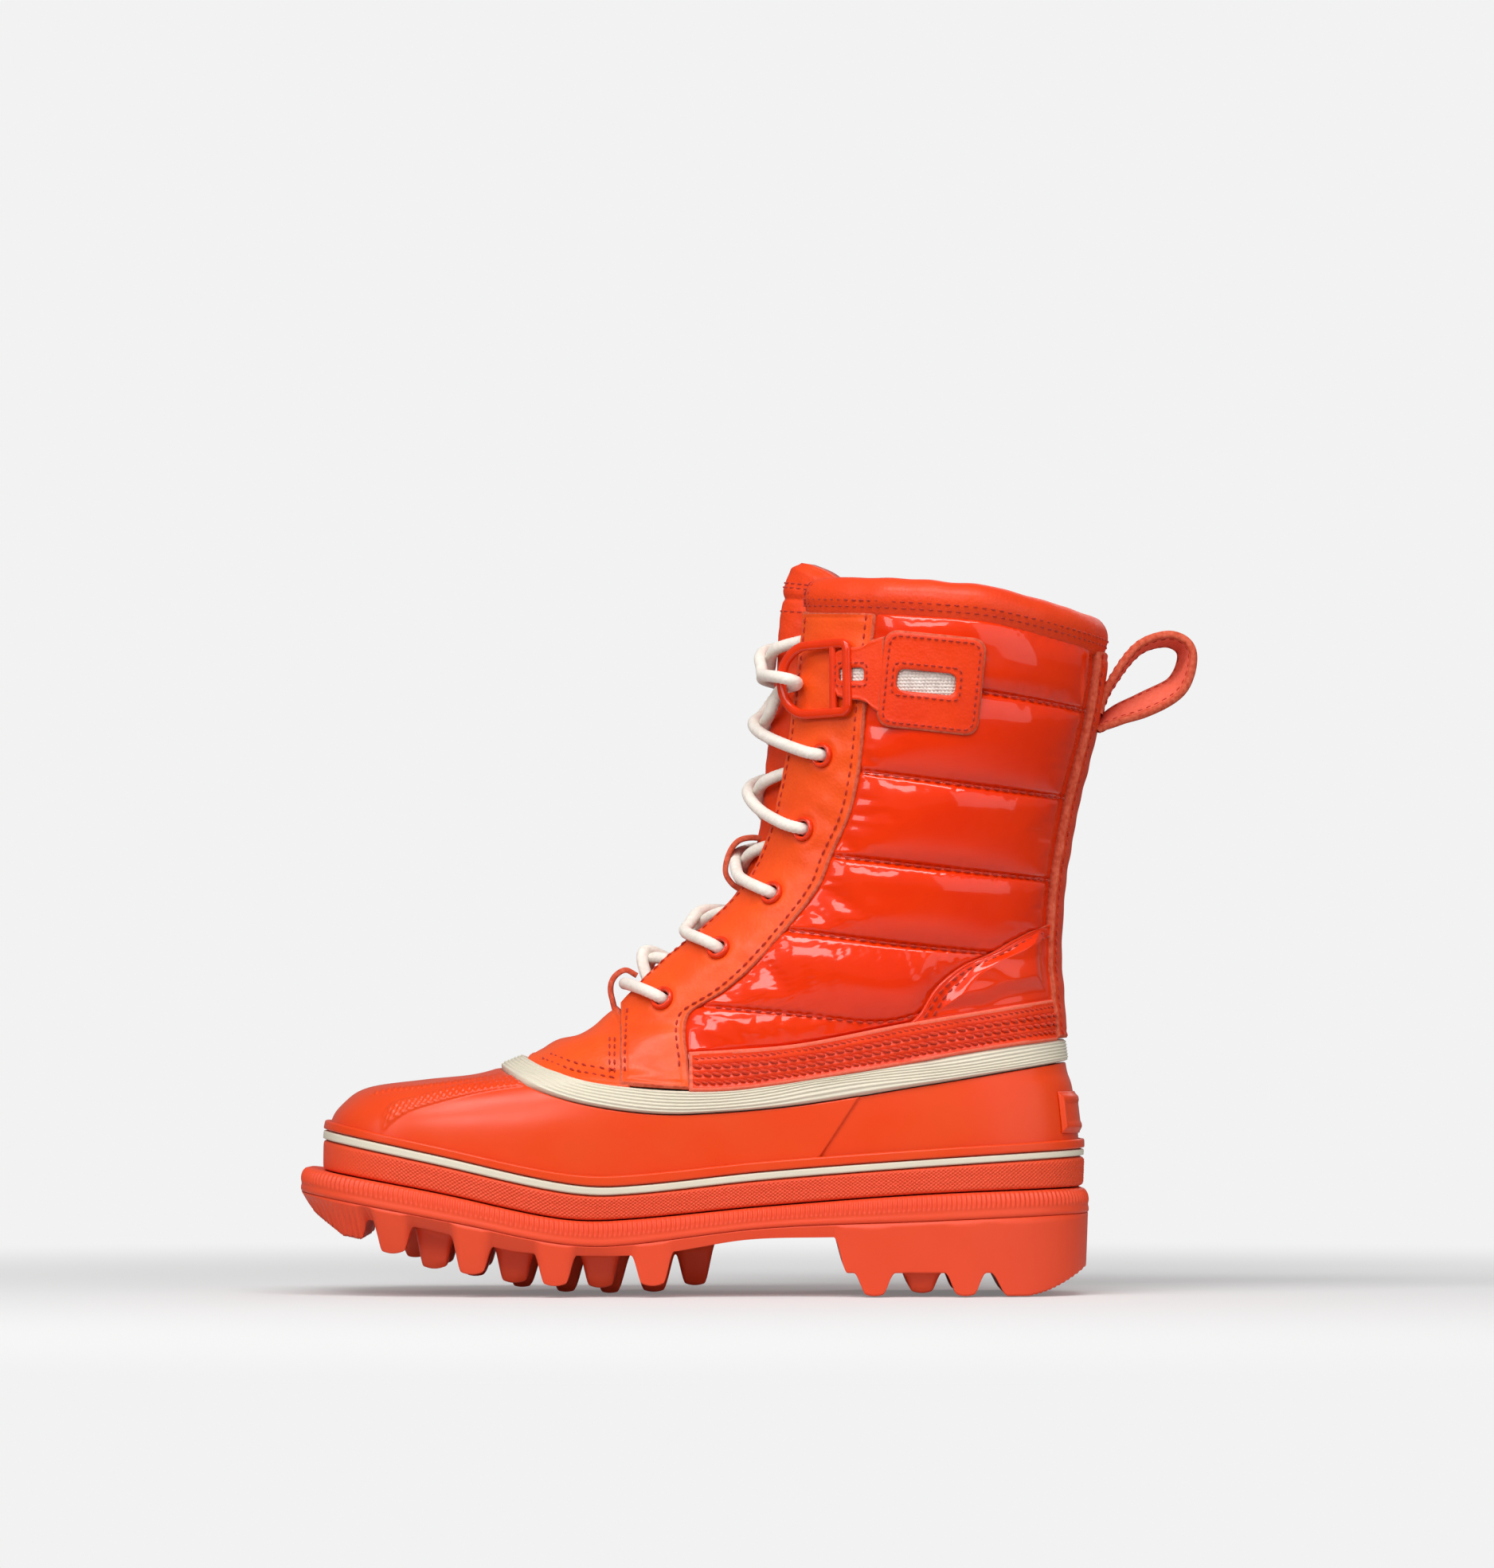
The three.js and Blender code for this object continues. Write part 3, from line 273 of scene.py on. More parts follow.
def edge_at_y(z, y, near_back):
    """The side-view x at which the face is y off the middle at height z."""
    z, y = np.broadcast_arrays(np.asarray(z, float), np.asarray(y, float))
    ends = (math.pi / 2, math.pi - 0.02) if near_back else (0.02, math.pi / 2)

    def before(a):
        wide = np.abs(face(ring_at_height(z, a), a)[..., 1]) > y
        return wide == near_back

    a, _ = halved(z.shape, *ends, before, 20)
    return face(ring_at_height(z, a), a)[..., 0]


# ---- side-view lines -------------------------------------------------------------
bumper_top = line(
    (-156, 45.4), (-111.3, 37.2), (-69.2, 28.3), (-48.4, 27.4), (6.2, 32.3), (64, 36.6), (120, 38.8),
)
groove_line = line(
    (-162, 37.2), (-102.4, 26.1), (-69.2, 19.4), (-48.4, 18.3), (6.2, 24.5), (64, 27), (122, 29.5),
)
stripe_low = line(
    (-155, 56.4), (-111, 47.2), (-69.2, 38), (-48.4, 36.4), (6.2, 41.8), (64, 46.4), (121.6, 50.2),
)
stripe_high = line(
    (-155, 60), (-111, 50.7), (-69.2, 41.4), (-48.4, 39.6), (6.2, 44.9), (64, 49.3), (121.6, 52.9),
)
bead_high = line((-152.2, 62.8), (-111, 54), (-69.2, 45), (-48.4, 43.6), (6.2, 48.7), (64, 53), (119, 56.4))
rand_low = line(
    (-89, 81.8), (-82, 77.7), (-72, 73.2), (-58, 69.2), (-38, 66.2), (-20, 65.7), (17, 68.7),
    (67, 76.7), (117, 84.7),
)
rand_high = line(
    (-81, 86.2), (-72, 81.8), (-60, 77.9), (-48, 76), (-25, 74.2), (-3, 74.8), (41, 81.2), (87, 89.2),
    (117, 93.2),
)
mud_top = line((-22, 87.6), (17.1, 90.8), (59.1, 98.7), (113, 107.4))
collar_low = line((18, 248.4), (70, 244.9), (90.3, 242.7), (131.2, 233.4))
sole_base = line(
    (-140, 28), (-114, 24), (-84, 16.5), (-50, 14.7), (-29, 15.9), (0, 20.4), (31, 21.3), (125, 23),
)
eyestay_rear = through([
    [76, -21], [84, -21.8], [101.3, -21.5], [109.6, -9.3], [117.2, -0.1], [133.4, 14.7],
    [148.2, 25.8], [159.3, 30.2], [174.1, 36.8], [192.6, 40.6], [212.3, 42.4], [247, 46.2],
])
THROAT = -46.2                        # x of the facings' foremost edge
BACK_HALF = 17                        # half the backstay's width
EYELETS = ((-30.1, 106.9), (-9.8, 125.1), (9.6, 145.1), (21.1, 168.5), (27.8, 195.2))


def level(curve, dz):
    """A side-view curve moved up by dz."""
    return lambda x: curve(x) + dz


def half_gap(z):
    """Half the distance between the facings at height z."""
    return mix(9.5, 20, smooth(100, 215, z))


# ---- meshes ------------------------------------------------------------------------
def grid_quads(n, m, wrap_n=False, wrap_m=False):
    """The quads of an n by m grid of points, closed along either way if asked."""
    i = np.arange(n if wrap_n else n - 1)
    j = np.arange(m if wrap_m else m - 1)
    i, j = np.meshgrid(i, j, indexing="ij")
    k, l = (i + 1) % n, (j + 1) % m
    quads = np.stack([i * m + j, k * m + j, k * m + l, i * m + l], -1)
    return quads.reshape(-1, 4)


def new_piece(name, points, quads, materials, body="boot", stands_for=(), slot=None, which=None):
    """A shown mesh from points in millimetres; `which` is a material number per face."""
    points = np.asarray(points, float).reshape(-1, 3)
    quads = np.asarray(quads, np.int32).reshape(-1, 4)
    mesh = bpy.data.meshes.new(name)
    mesh.vertices.add(len(points))
    mesh.vertices.foreach_set("co", (points * MM).ravel())
    mesh.loops.add(quads.size)
    mesh.loops.foreach_set("vertex_index", quads.ravel())
    mesh.polygons.add(len(quads))
    mesh.polygons.foreach_set("loop_start", np.arange(0, quads.size, 4, dtype=np.int32))
    mesh.update(calc_edges=True)
    for material in materials:
        mesh.materials.append(material)
    if which is not None:
        mesh.polygons.foreach_set("material_index", np.asarray(which, np.int32))
    mesh.polygons.foreach_set("use_smooth", np.ones(len(quads), bool))
    mesh.validate()
    obj = bpy.data.objects.new(name, mesh)
    bpy.context.scene.collection.objects.link(obj)
    tidy_mesh(obj)
    if body:
        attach(obj, body)
    if stands_for:
        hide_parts(*stands_for)
    return obj


def tidy_mesh(obj):
    """Welds doubled points and turns a closed mesh's faces outwards."""
    bm = bmesh.new()
    bm.from_mesh(obj.data)
    bmesh.ops.remove_doubles(bm, verts=bm.verts, dist=2e-6)
    bmesh.ops.dissolve_degenerate(bm, edges=bm.edges, dist=1e-7)
    bmesh.ops.recalc_face_normals(bm, faces=bm.faces)
    bm.to_mesh(obj.data)
    bm.free()


def slab(outside, inside):
    """Points, quads and material numbers of a plate between two grids; its rim is number 1."""
    n, m = outside.shape[:2]
    points = np.concatenate([outside.reshape(-1, 3), inside.reshape(-1, 3)])
    top = grid_quads(n, m)
    under = top[:, ::-1] + n * m
    ids = np.arange(n * m).reshape(n, m)
    rim = np.concatenate([ids[0, :], ids[1:, -1], ids[-1, -2::-1], ids[-2:0:-1, 0]])
    nxt = np.roll(rim, -1)
    sides = np.stack([rim, nxt, nxt + n * m, rim + n * m], -1)
    which = np.concatenate([np.zeros(len(top)), np.ones(len(under)), np.ones(len(sides))])
    return points, np.concatenate([top, under, sides]), which


def slab_piece(name, outside, inside, materials, slot, node):
    """A plate piece whose rim and underside take the second of two materials."""
    points, quads, which = slab(outside, inside)
    if len(materials) == 1:
        which = None
    return new_piece(name, points, quads, materials, stands_for=[node], slot=slot, which=which)


def looped_piece(name, rows, material, slot, *nodes, ends_meet=False):
    """A piece from rows of points, each row a closed loop."""
    rows = np.array(rows)
    quads = grid_quads(*rows.shape[:2], wrap_n=ends_meet, wrap_m=True)
    return new_piece(name, rows, quads, [material], stands_for=nodes, slot=slot)


class Soup:
    """Several meshes gathered into one piece."""

    def __init__(self):
        self.points, self.quads, self.which, self.count = [], [], [], 0

    def add(self, points, quads, which=0):
        points = np.asarray(points, float).reshape(-1, 3)
        quads = np.asarray(quads).reshape(-1, 4)
        self.points.append(points)
        self.quads.append(quads + self.count)
        self.which.append(np.broadcast_to(which, len(quads)))
        self.count += len(points)

    def piece(self, name, materials, **more):
        points, quads, which = (np.concatenate(part) for part in (self.points, self.quads, self.which))
        return new_piece(name, points, quads, materials, which=which, **more)


def run_of(points):
    """The length along a path up to each of its points."""
    return np.concatenate([[0], np.cumsum(np.linalg.norm(np.diff(points, axis=0), axis=1))])


def at_run(points, run, s):
    """The points of a path at the lengths s."""
    return np.stack([np.interp(s, run, c) for c in points.T], -1)


def circle(u, w, sides):
    """Directions evenly round from u towards w."""
    k = np.arange(sides) / sides * TAU
    return u[..., None, :] * np.cos(k)[:, None] + w[..., None, :] * np.sin(k)[:, None]


def resample(path, step):
    """Points along a smooth curve through the path, about `step` apart, with tangents."""
    path = np.asarray(path, float)
    d = np.linalg.norm(np.diff(path, axis=0), axis=1) ** 0.5
    knots = np.concatenate([[0], np.cumsum(d)])
    fine = np.linspace(0, knots[-1], 40 * len(path))
    dense = np.stack([through(np.column_stack([knots, c]))(fine) for c in path.T], -1)
    run = run_of(dense)
    count = max(int(round(run[-1] / step)), 2)
    s = np.linspace(0, run[-1], count + 1)
    points = at_run(dense, run, s)
    return points, unit(np.gradient(points, axis=0)), s


def frames(tangents, first):
    """Sideways and upwards directions carried along a path without twist."""
    ups = np.empty_like(tangents)
    up = first
    for i, t in enumerate(tangents):
        up = up - t * np.dot(up, t)
        up = up / np.linalg.norm(up)
        ups[i] = up
    return np.cross(tangents, ups), ups


def relax(points, reach):
    """Rounds off a dense path by a bell-shaped running mean, `reach` points wide."""
    weights = np.exp(-0.5 * (np.arange(-2 * reach, 2 * reach + 1) / reach) ** 2)
    padded = np.pad(points, ((2 * reach, 2 * reach), (0, 0)), mode="edge")
    return np.stack([np.convolve(c, weights / weights.sum(), mode="valid") for c in padded.T], -1)


def tube(path, radius, step, sides, shape, first=(0.1, 0.2, 1), soften=0):
    """The rows of a round cord along a path; shape(s, angle) changes its radius."""
    points, tangents, s = resample(path, step)
    if soften:
        points = relax(points, max(round(soften / step), 1))
        tangents = unit(np.gradient(points, axis=0))
    across, ups = frames(tangents, np.array(first, float))
    k = np.arange(sides) / sides * TAU
    end = np.clip(np.minimum(s, s[-1] - s) / radius, 0, 1)
    r = (radius + shape(s[:, None], k[None, :])) * np.sqrt(end * (2 - end) + 1e-4)[:, None]
    return points[:, None] + circle(across, ups, sides) * r[..., None]


def revolve(profile, centre, axis, sides):
    """The rows of a turned shape; its profile holds (radius, height along the axis)."""
    u = unit(np.cross(axis, [0.3, 0.2, 0.9]))
    spin = circle(u, np.cross(axis, u), sides)
    return [centre + spin * r + axis * h for r, h in profile]


# ---- materials ---------------------------------------------------------------------
NOISE_LOW, NOISE_HIGH = 0.3, 0.7      # the range that most of a noise's values fall in


def linear(r, g, b):
    """A display colour, 0 to 255, as the linear colour of a shader."""
    def one(c):
        c = c / 255
        return c / 12.92 if c <= 0.04045 else ((c + 0.055) / 1.055) ** 2.4
    return (one(r), one(g), one(b), 1)


def add_node(tree, kind, values, **settings):
    """A shader node with its inputs' values and its own settings."""
    made = tree.nodes.new(kind)
    for key, value in settings.items():
        setattr(made, key, value)
    for key, value in values.items():
        made.inputs[key].default_value = value
    return made


class Look:
    """A material built from a Principled shader and a few procedural nodes."""

    def __init__(self, name, colour, roughness, coat=0.0, coat_roughness=0.05, specular=0.5):
        self.material = bpy.data.materials.new(name)
        self.material.use_nodes = True
        self.tree = self.material.node_tree
        self.shader = self.tree.nodes["Principled BSDF"]
        self.colour = linear(*colour)
        inputs = self.shader.inputs
        inputs["Base Color"].default_value = self.colour
        inputs["Roughness"].default_value = roughness
        inputs["Coat Weight"].default_value = coat
        inputs["Coat Roughness"].default_value = coat_roughness
        inputs["Specular IOR Level"].default_value = specular
        self.material.diffuse_color = self.colour
        self.coords = self.tree.nodes.new("ShaderNodeTexCoord").outputs["Object"]
        self.bumped = None

    def link(self, output, target):
        self.tree.links.new(output, target)

    def noise(self, size_mm, detail):
        made = add_node(self.tree, "ShaderNodeTexNoise", {"Scale": 1 / (size_mm * MM), "Detail": detail})
        self.link(self.coords, made.inputs["Vector"])
        return made.outputs["Fac"]

    def cells(self, size_mm):
        made = add_node(self.tree, "ShaderNodeTexVoronoi", {"Scale": 1 / (size_mm * MM)})
        self.link(self.coords, made.inputs["Vector"])
        return made.outputs["Distance"]

    def spread(self, value, low, high):
        """A 0 to 1 value stretched to a range, for a shader's number input."""
        values = {"From Min": NOISE_LOW, "From Max": NOISE_HIGH, "To Min": low, "To Max": high}
        made = add_node(self.tree, "ShaderNodeMapRange", values, clamp=False)
        self.link(value, made.inputs["Value"])
        return made.outputs["Result"]

    def tint(self, value, other):
        """Mixes the base colour towards another where the value is high."""
        ramp = add_node(self.tree, "ShaderNodeValToRGB", {})
        self.link(value, ramp.inputs["Fac"])
        low, high = ramp.color_ramp.elements
        low.position, high.position = NOISE_LOW, NOISE_HIGH
        low.color, high.color = self.colour, linear(*other)
        self.link(ramp.outputs["Color"], self.shader.inputs["Base Color"])

    def rough(self, value, low, high):
        self.link(self.spread(value, low, high), self.shader.inputs["Roughness"])

    def bump(self, value, height_mm):
        made = add_node(self.tree, "ShaderNodeBump", {"Strength": 1.0, "Distance": height_mm * MM})
        self.link(value, made.inputs["Height"])
        if self.bumped is not None:
            self.link(self.bumped, made.inputs["Normal"])
        self.bumped = made.outputs["Normal"]
        self.link(self.bumped, self.shader.inputs["Normal"])


def rubber_look(name, colour, roughness, other):
    look = Look(name, colour, roughness, specular=0.36)
    look.tint(look.noise(38, 2), other)
    look.rough(look.noise(16, 2), roughness - 0.02, roughness + 0.05)
    look.bump(look.noise(0.7, 2), 0.012)
    return look.material


def leather_look(name, colour, other, roughness, coat):
    look = Look(name, colour, roughness, coat, 0.22, 0.3)
    look.tint(look.noise(24, 4), other)
    look.rough(look.noise(4, 4), roughness - 0.06, roughness + 0.1)
    look.bump(look.noise(7, 3), 0.32)
    look.bump(look.cells(1.1), 0.075)
    look.bump(look.noise(0.5, 2), 0.02)
    return look.material


def patent_look():
    look = Look("patent", (226, 44, 0), 0.24, 0.6, 0.03, 0.2)
    look.tint(look.noise(30, 3), (232, 52, 2))
    look.rough(look.noise(6, 3), 0.14, 0.24)
    look.bump(look.noise(14, 2), 0.12)
    look.bump(look.noise(1.2, 2), 0.006)
    return look.material


def lacquer_look():
    look = Look("lacquer", (226, 52, 0), 0.25, 0.5, 0.06, 0.25)
    look.tint(look.noise(6, 2), (218, 46, 0))
    look.bump(look.noise(2, 2), 0.015)
    return look.material


def suede_look(name, colour, other):
    look = Look(name, colour, 0.95, specular=0.1)
    look.tint(look.noise(1.4, 5), other)
    look.bump(look.noise(0.5, 4), 0.12)
    return look.material


def cloth_look(name, colour, other, roughness, size_mm, height_mm):
    look = Look(name, colour, roughness, specular=0.2)
    look.tint(look.noise(size_mm * 6, 3), other)
    look.bump(look.noise(size_mm, 4), height_mm)
    look.bump(look.cells(size_mm * 0.8), height_mm * 0.6)
    look.shader.inputs["Sheen Weight"].default_value = 0.2
    return look.material


RUBBER = rubber_look("rubber", (224, 62, 12), 0.3, (222, 70, 22))
FOXING = rubber_look("foxing_rubber", (228, 76, 38), 0.5, (224, 72, 34))
OUTSOLE = rubber_look("outsole_rubber", (226, 74, 38), 0.45, (222, 68, 32))
CREAM = rubber_look("cream_rubber", (216, 208, 188), 0.5, (210, 202, 182))
LEATHER = leather_look("leather", (242, 84, 14), (230, 70, 8), 0.46, 0.16)
DEEP = leather_look("deep_leather", (234, 60, 4), (224, 50, 2), 0.42, 0.16)
SOFT = leather_look("collar_leather", (230, 64, 8), (222, 54, 4), 0.48, 0.12)
PATENT = patent_look()
LACQUER = lacquer_look()
SUEDE = suede_look("suede_edge", (186, 68, 44), (214, 104, 78))
LINING = suede_look("suede_face", (224, 98, 74), (230, 112, 90))
THREAD = cloth_look("thread", (188, 42, 12), (170, 36, 12), 0.55, 0.4, 0.05)
HEAVY_THREAD = cloth_look("heavy_thread", (214, 56, 14), (198, 46, 12), 0.45, 0.5, 0.08)
CORD = cloth_look("lace_cord", (238, 230, 220), (226, 216, 204), 0.75, 0.35, 0.04)
WEB = cloth_look("webbing", (226, 214, 206), (204, 188, 180), 0.8, 0.4, 0.06)
FELT = cloth_look("felt", (186, 180, 172), (168, 162, 154), 0.95, 1.2, 0.25)


# ---- rubber: outsole, foxing, galosh -------------------------------------------------
RIB_PITCH = 1.75                      # of the ribs round the bumper
TREAD_TOP = 3.4                       # how far the toe's side wall slopes in below the groove
GROOVE_HALF = 0.18                    # half the height of the parting groove
FOOT_ROUND = 18                       # twice the radius of the lugs' rounded feet
SOLE_RING, WALL_RING = 0.6, 1.5       # the rings that give the sole's outline and its length

# tread blocks: middle x, half length at the top and at the foot, foot height
EDGE_LUGS = ((-127.6, 7.6, 3.8, 15.4), (-99, 7.8, 3.8, 8.0), (-69, 7.8, 3.8, 3.9), (-34, 7.8, 3.8, 3.9))
INNER_LUGS = ((-113, 7.8, 4.0, 9.6), (-84, 7.8, 4.0, 4.6), (-53, 7.8, 4.0, 2.8))
MIDDLE_LUGS = (
    (-121, 8, 2.4, 13), (-99, 8.4, 2.6, 6.2), (-82, 8.4, 2.6, 2.2), (-66, 8.4, 2.6, 0.4),
    (-50, 8.4, 2.6, 0), (-34, 9, 3.4, 0.4), (-19, 8, 3.4, 2.8),
)
HEEL_LUGS = ((45.9, 7.6, 3.0, 0.1), (78.8, 7.6, 3.0, 0.1))
HEEL_INNER = ((63.1, 7.6, 3.4, 1.0),)
HEEL_BASE = 8.4                       # height of the heel's underside between its blocks
HEEL_START = (31.2, 36.2)             # x over which the arch turns into the heel
TOE_END = (-139.4, -136.6)            # x over which the toe's wedge turns into the tread


def around(count):
    """Angles evenly spaced by length round the sole, the length at each, and the whole length."""
    dense = np.linspace(0, TAU, 3001)
    run = run_of(face(WALL_RING, dense))
    s = np.arange(count) / count * run[-1]
    return np.interp(s, run, dense), s, run[-1]


def toe_grow(a):
    """How far the sole stands out past the shell's foot: most at the toe."""
    return 4.2 + 5.6 * np.maximum(0, np.cos(a)) ** 6


def sole_ring(a, height, off):
    """Points on the sole's plan outline grown by off, at the side-view height z(x)."""
    q = on_face(SOLE_RING, a, off)
    q[..., 2] = height(q[..., 0])
    return q


def spine(a, height, off):
    """The points of sole_ring drawn in to the boot's middle plane."""
    x = (on_face(SOLE_RING, a, off)[..., 0] + on_face(SOLE_RING, -a, off)[..., 0]) / 2
    return np.stack([x, 0 * x, height(x)], -1)


def wave(x, pitch):
    """Ribs between 0 and 1."""
    return 0.5 + 0.5 * np.cos(TAU * x / pitch)


def lug_field(z, x, lugs, across):
    """The underside's height z with a row of blocks added where `across` is 1."""
    for middle, top, foot, bottom in lugs:
        share = smooth(top, foot, np.abs(x - middle)) * across
        foot_z = bottom + (x - middle) ** 2 / FOOT_ROUND
        z = mix(z, np.minimum(z, foot_z), share)
    return z


def toe_wedge(x, y):
    """The serrated underside of the toe, ahead of the first block."""
    slope = mix(33.6, 21.8, np.clip((x + 161.9) / 16.1, 0, 1)) - smooth(-145.8, -139, x)
    return slope + 0.55 * np.cos(TAU * (x + 0.8 * np.abs(y)) / 1.6)


def heel_rear(x):
    """The heel's rounded and finely ribbed rear edge."""
    rise = 12.0 * np.clip((x - 101.5) / 24.4, 0, 1) ** 1.6
    return np.minimum(rise + 0.35 * wave(x, 1.7) * smooth(101, 104, x), 24)


def underside(x, y, edge):
    """Height of the sole's underside; `edge` is the distance in from its outline."""
    z = mix(toe_wedge(x, y), sole_base(x), smooth(*TOE_END, x))
    z = lug_field(z, x, EDGE_LUGS, smooth(17, 14, edge))
    z = lug_field(z, x, INNER_LUGS, smooth(11, 14.5, edge) * smooth(31, 27, edge))
    z = lug_field(z, x, MIDDLE_LUGS, smooth(13, 9, np.abs(y - 2)))
    heel_z = lug_field(HEEL_BASE + 0 * x, x, HEEL_LUGS, smooth(20, 17, edge))
    heel_z = lug_field(heel_z, x, HEEL_INNER, smooth(4, 7, edge))
    heel_z = mix(heel_z, heel_rear(x), smooth(87.8, 94.2, x))
    return mix(z, heel_z, smooth(*HEEL_START, x))


def bumper_step(k, ribs):
    """How far in the bumper's side stands at share k of its height."""
    ribbed = 0.62 * smooth(0.36, 0.5, k) * smooth(0.97, 0.86, k)
    bead = 3.3 * (1 - math.sqrt(1 - max(0, (k - 0.48) / 0.52) ** 2))
    waist = 0.3 * math.exp(-(((k - 0.3) / 0.09) ** 2))
    return bead + waist + ribbed * ribs + 0.25 * (1 - smooth(0, 0.07, k)) - 0.1


def make_bumper():
    """The sole's upper half: the ribbed bead above the parting groove."""
    a, s, length = around(3000)
    grow = toe_grow(a)
    ribs = wave(s, length / round(length / RIB_PITCH))
    rows = [
        spine(a, level(groove_line, -1), -2),
        sole_ring(a, level(groove_line, -0.3), grow - 1.1),
        sole_ring(a, groove_line, grow - 0.8),
    ]
    for k in np.linspace(0, 1, 15):
        def height(x, k=k):
            return mix(groove_line(x) + GROOVE_HALF, bumper_top(x) - 0.1, k)

        rows.append(sole_ring(a, height, grow - bumper_step(k, ribs)))
    top = level(bumper_top, -0.4)
    rows += [sole_ring(a, top, -6 + 0 * a), spine(a, top, -6)]
    looped_piece("bumper", rows, OUTSOLE, "outsole_rubber")


def make_sole():
    """The sole's lower half: a side wall that runs down into the tread."""
    a, _, _ = around(1700)
    grow = toe_grow(a)
    rim = sole_ring(a, groove_line, grow - 0.2)
    rows = [spine(a, level(groove_line, -0.5), -2), sole_ring(a, level(groove_line, -0.1), grow - 1.2)]
    foot = sole_ring(a, groove_line, grow - TREAD_TOP * smooth(-20, -120, rim[:, 0]) - 0.9)
    foot_z = underside(foot[:, 0], foot[:, 1], 0 * a)
    grooves = wave(rim[:, 0], 2.1) * smooth(-134, -138, rim[:, 0])
    for k in (0, 0.08, 0.3, 0.6, 0.85, 0.95, 1):
        q = mix(rim, foot, (k + 0.22 * grooves * smooth(0.08, 0.5, k))[:, None])
        top = groove_line(q[:, 0]) - GROOVE_HALF
        q[:, 2] = np.minimum(mix(top, foot_z, 1 - (1 - k) ** 1.15), top)
        rows.append(q)
    line_x = (foot[:, 0] + np.interp(-a % TAU, a, foot[:, 0], period=TAU)) / 2
    middle = np.stack([line_x, 0 * line_x, 0 * line_x], -1)
    for k in np.linspace(0, 1, 44)[1:]:
        q = mix(foot, middle, k)
        edge = np.linalg.norm((foot - q)[:, :2], axis=1)
        q[:, 2] = underside(q[:, 0], q[:, 1], edge)
        rows.append(q)
    looped_piece("sole", rows, OUTSOLE, "outsole_rubber", "outsole")


def wall_band(name, low, high, count, rows, offset, material, slot, node, back=0.45):
    """A band round the galosh between two side-view curves; offset(share, s, a) in mm."""
    a, s, _ = around(count)
    low_v, high_v = ring_at(low, a), ring_at(high, a)
    grid = []
    for k in np.linspace(0, 1, rows):
        edge = (1 - abs(2 * k - 1) ** 8) ** 0.35 if 0 < k < 1 else 0.25
        grid.append(on_face(mix(low_v, high_v, k), a, back + (offset(k, s, a) - back) * edge))
    grid += [on_face(high_v, a, back + 0 * a), on_face(low_v, a, back + 0 * a)]
    looped_piece(name, grid, material, slot, node, ends_meet=True)


KNURL_PITCH = 1.7
KNURL_HIGH = 12.5                     # the knurled band's height, which sets the ridges' slope


def diamonds(s, t, pitch):
    """Two sets of ridges that cross each other."""
    return np.abs(np.sin(math.pi * (s + t) / pitch)) * np.abs(np.sin(math.pi * (s - t) / pitch))


def knurl(k, s, a):
    """Fine diamond crosshatching that fades out round the toe."""
    fade = smooth(0.1, 0.75, np.abs(np.arctan2(np.sin(a), np.cos(a))))
    rim = smooth(0, 0.09, k) * smooth(1, 0.91, k)
    return 1.6 + 0.6 * (1 - diamonds(s, k * KNURL_HIGH, KNURL_PITCH)) ** 1.5 * fade * rim


def rand_ribs(k, s, a):
    """Fine ribs along the cream band, with the step of its splice at the side."""
    ribs = wave(k - 0.06, 1 / 7.5)
    splice = 0.25 * smooth(42, 43.5, face(6.5, a)[..., 0])
    return 1.2 + 0.38 * ribs * (1 if 0.04 < k < 0.97 else 0.6) - splice


def make_foxing():
    """The knurled band round the sole, the stripe and bead on it, and the shell's top band."""
    shell, cream = "shell_rubber", "cream_rubber"
    wall_band("foxing", level(bumper_top, 0.4), level(stripe_low, -0.2), 2300, 34,
              knurl, FOXING, shell, "foxing_band")
    wall_band("stripe", level(stripe_low, 0.15), level(stripe_high, -0.15), 400, 10,
              lambda k, s, a: 1.9 + 0 * s, CREAM, cream, "foxing_stripe")
    wall_band("bead", level(stripe_high, 0.1), level(bead_high, -0.1), 400, 14,
              lambda k, s, a: 2.15 + 0 * s, RUBBER, shell, "foxing_bead")
    wall_band("rand", level(rand_low, 0.1), level(rand_high, -0.1), 420, 76,
              rand_ribs, CREAM, cream, "rand_band", back=-2.0)


MOCCASIN = line((-146, 46), (-134, 59.7), (-127.8, 66.2), (-118, 70), (-98, 75.2), (-82, 77.7), (-70, 78))
TOE_DOTS = line((-150, 66), (-134, 73.2), (-118, 75.4), (-98, 78.2), (-88, 80))


def shell_emboss(points):
    """Height of the moulded lines on the galosh at its points."""
    x, z = points[..., 0], points[..., 2]
    d = (z - MOCCASIN(x)) / np.sqrt(1 + 2.4 * smooth(-118, -136, x))
    strip = smooth(2.5, 1.7, np.abs(d)) * smooth(-133, -127, x) * smooth(-79, -83, x)
    dots = smooth(0.7, 0.3, np.abs(z - TOE_DOTS(x))) * smooth(-138, -134, x) * smooth(-87, -90, x)
    seam = (x - 27) * 20 - (z - 51.2) * 13.1
    sunk = smooth(-7, 7, seam) * smooth(110, 60, x)
    return strip * (0.55 + 0.5 * diamonds(x, d, 2.3)) + 0.7 * dots * wave(x, 2.2) - sunk


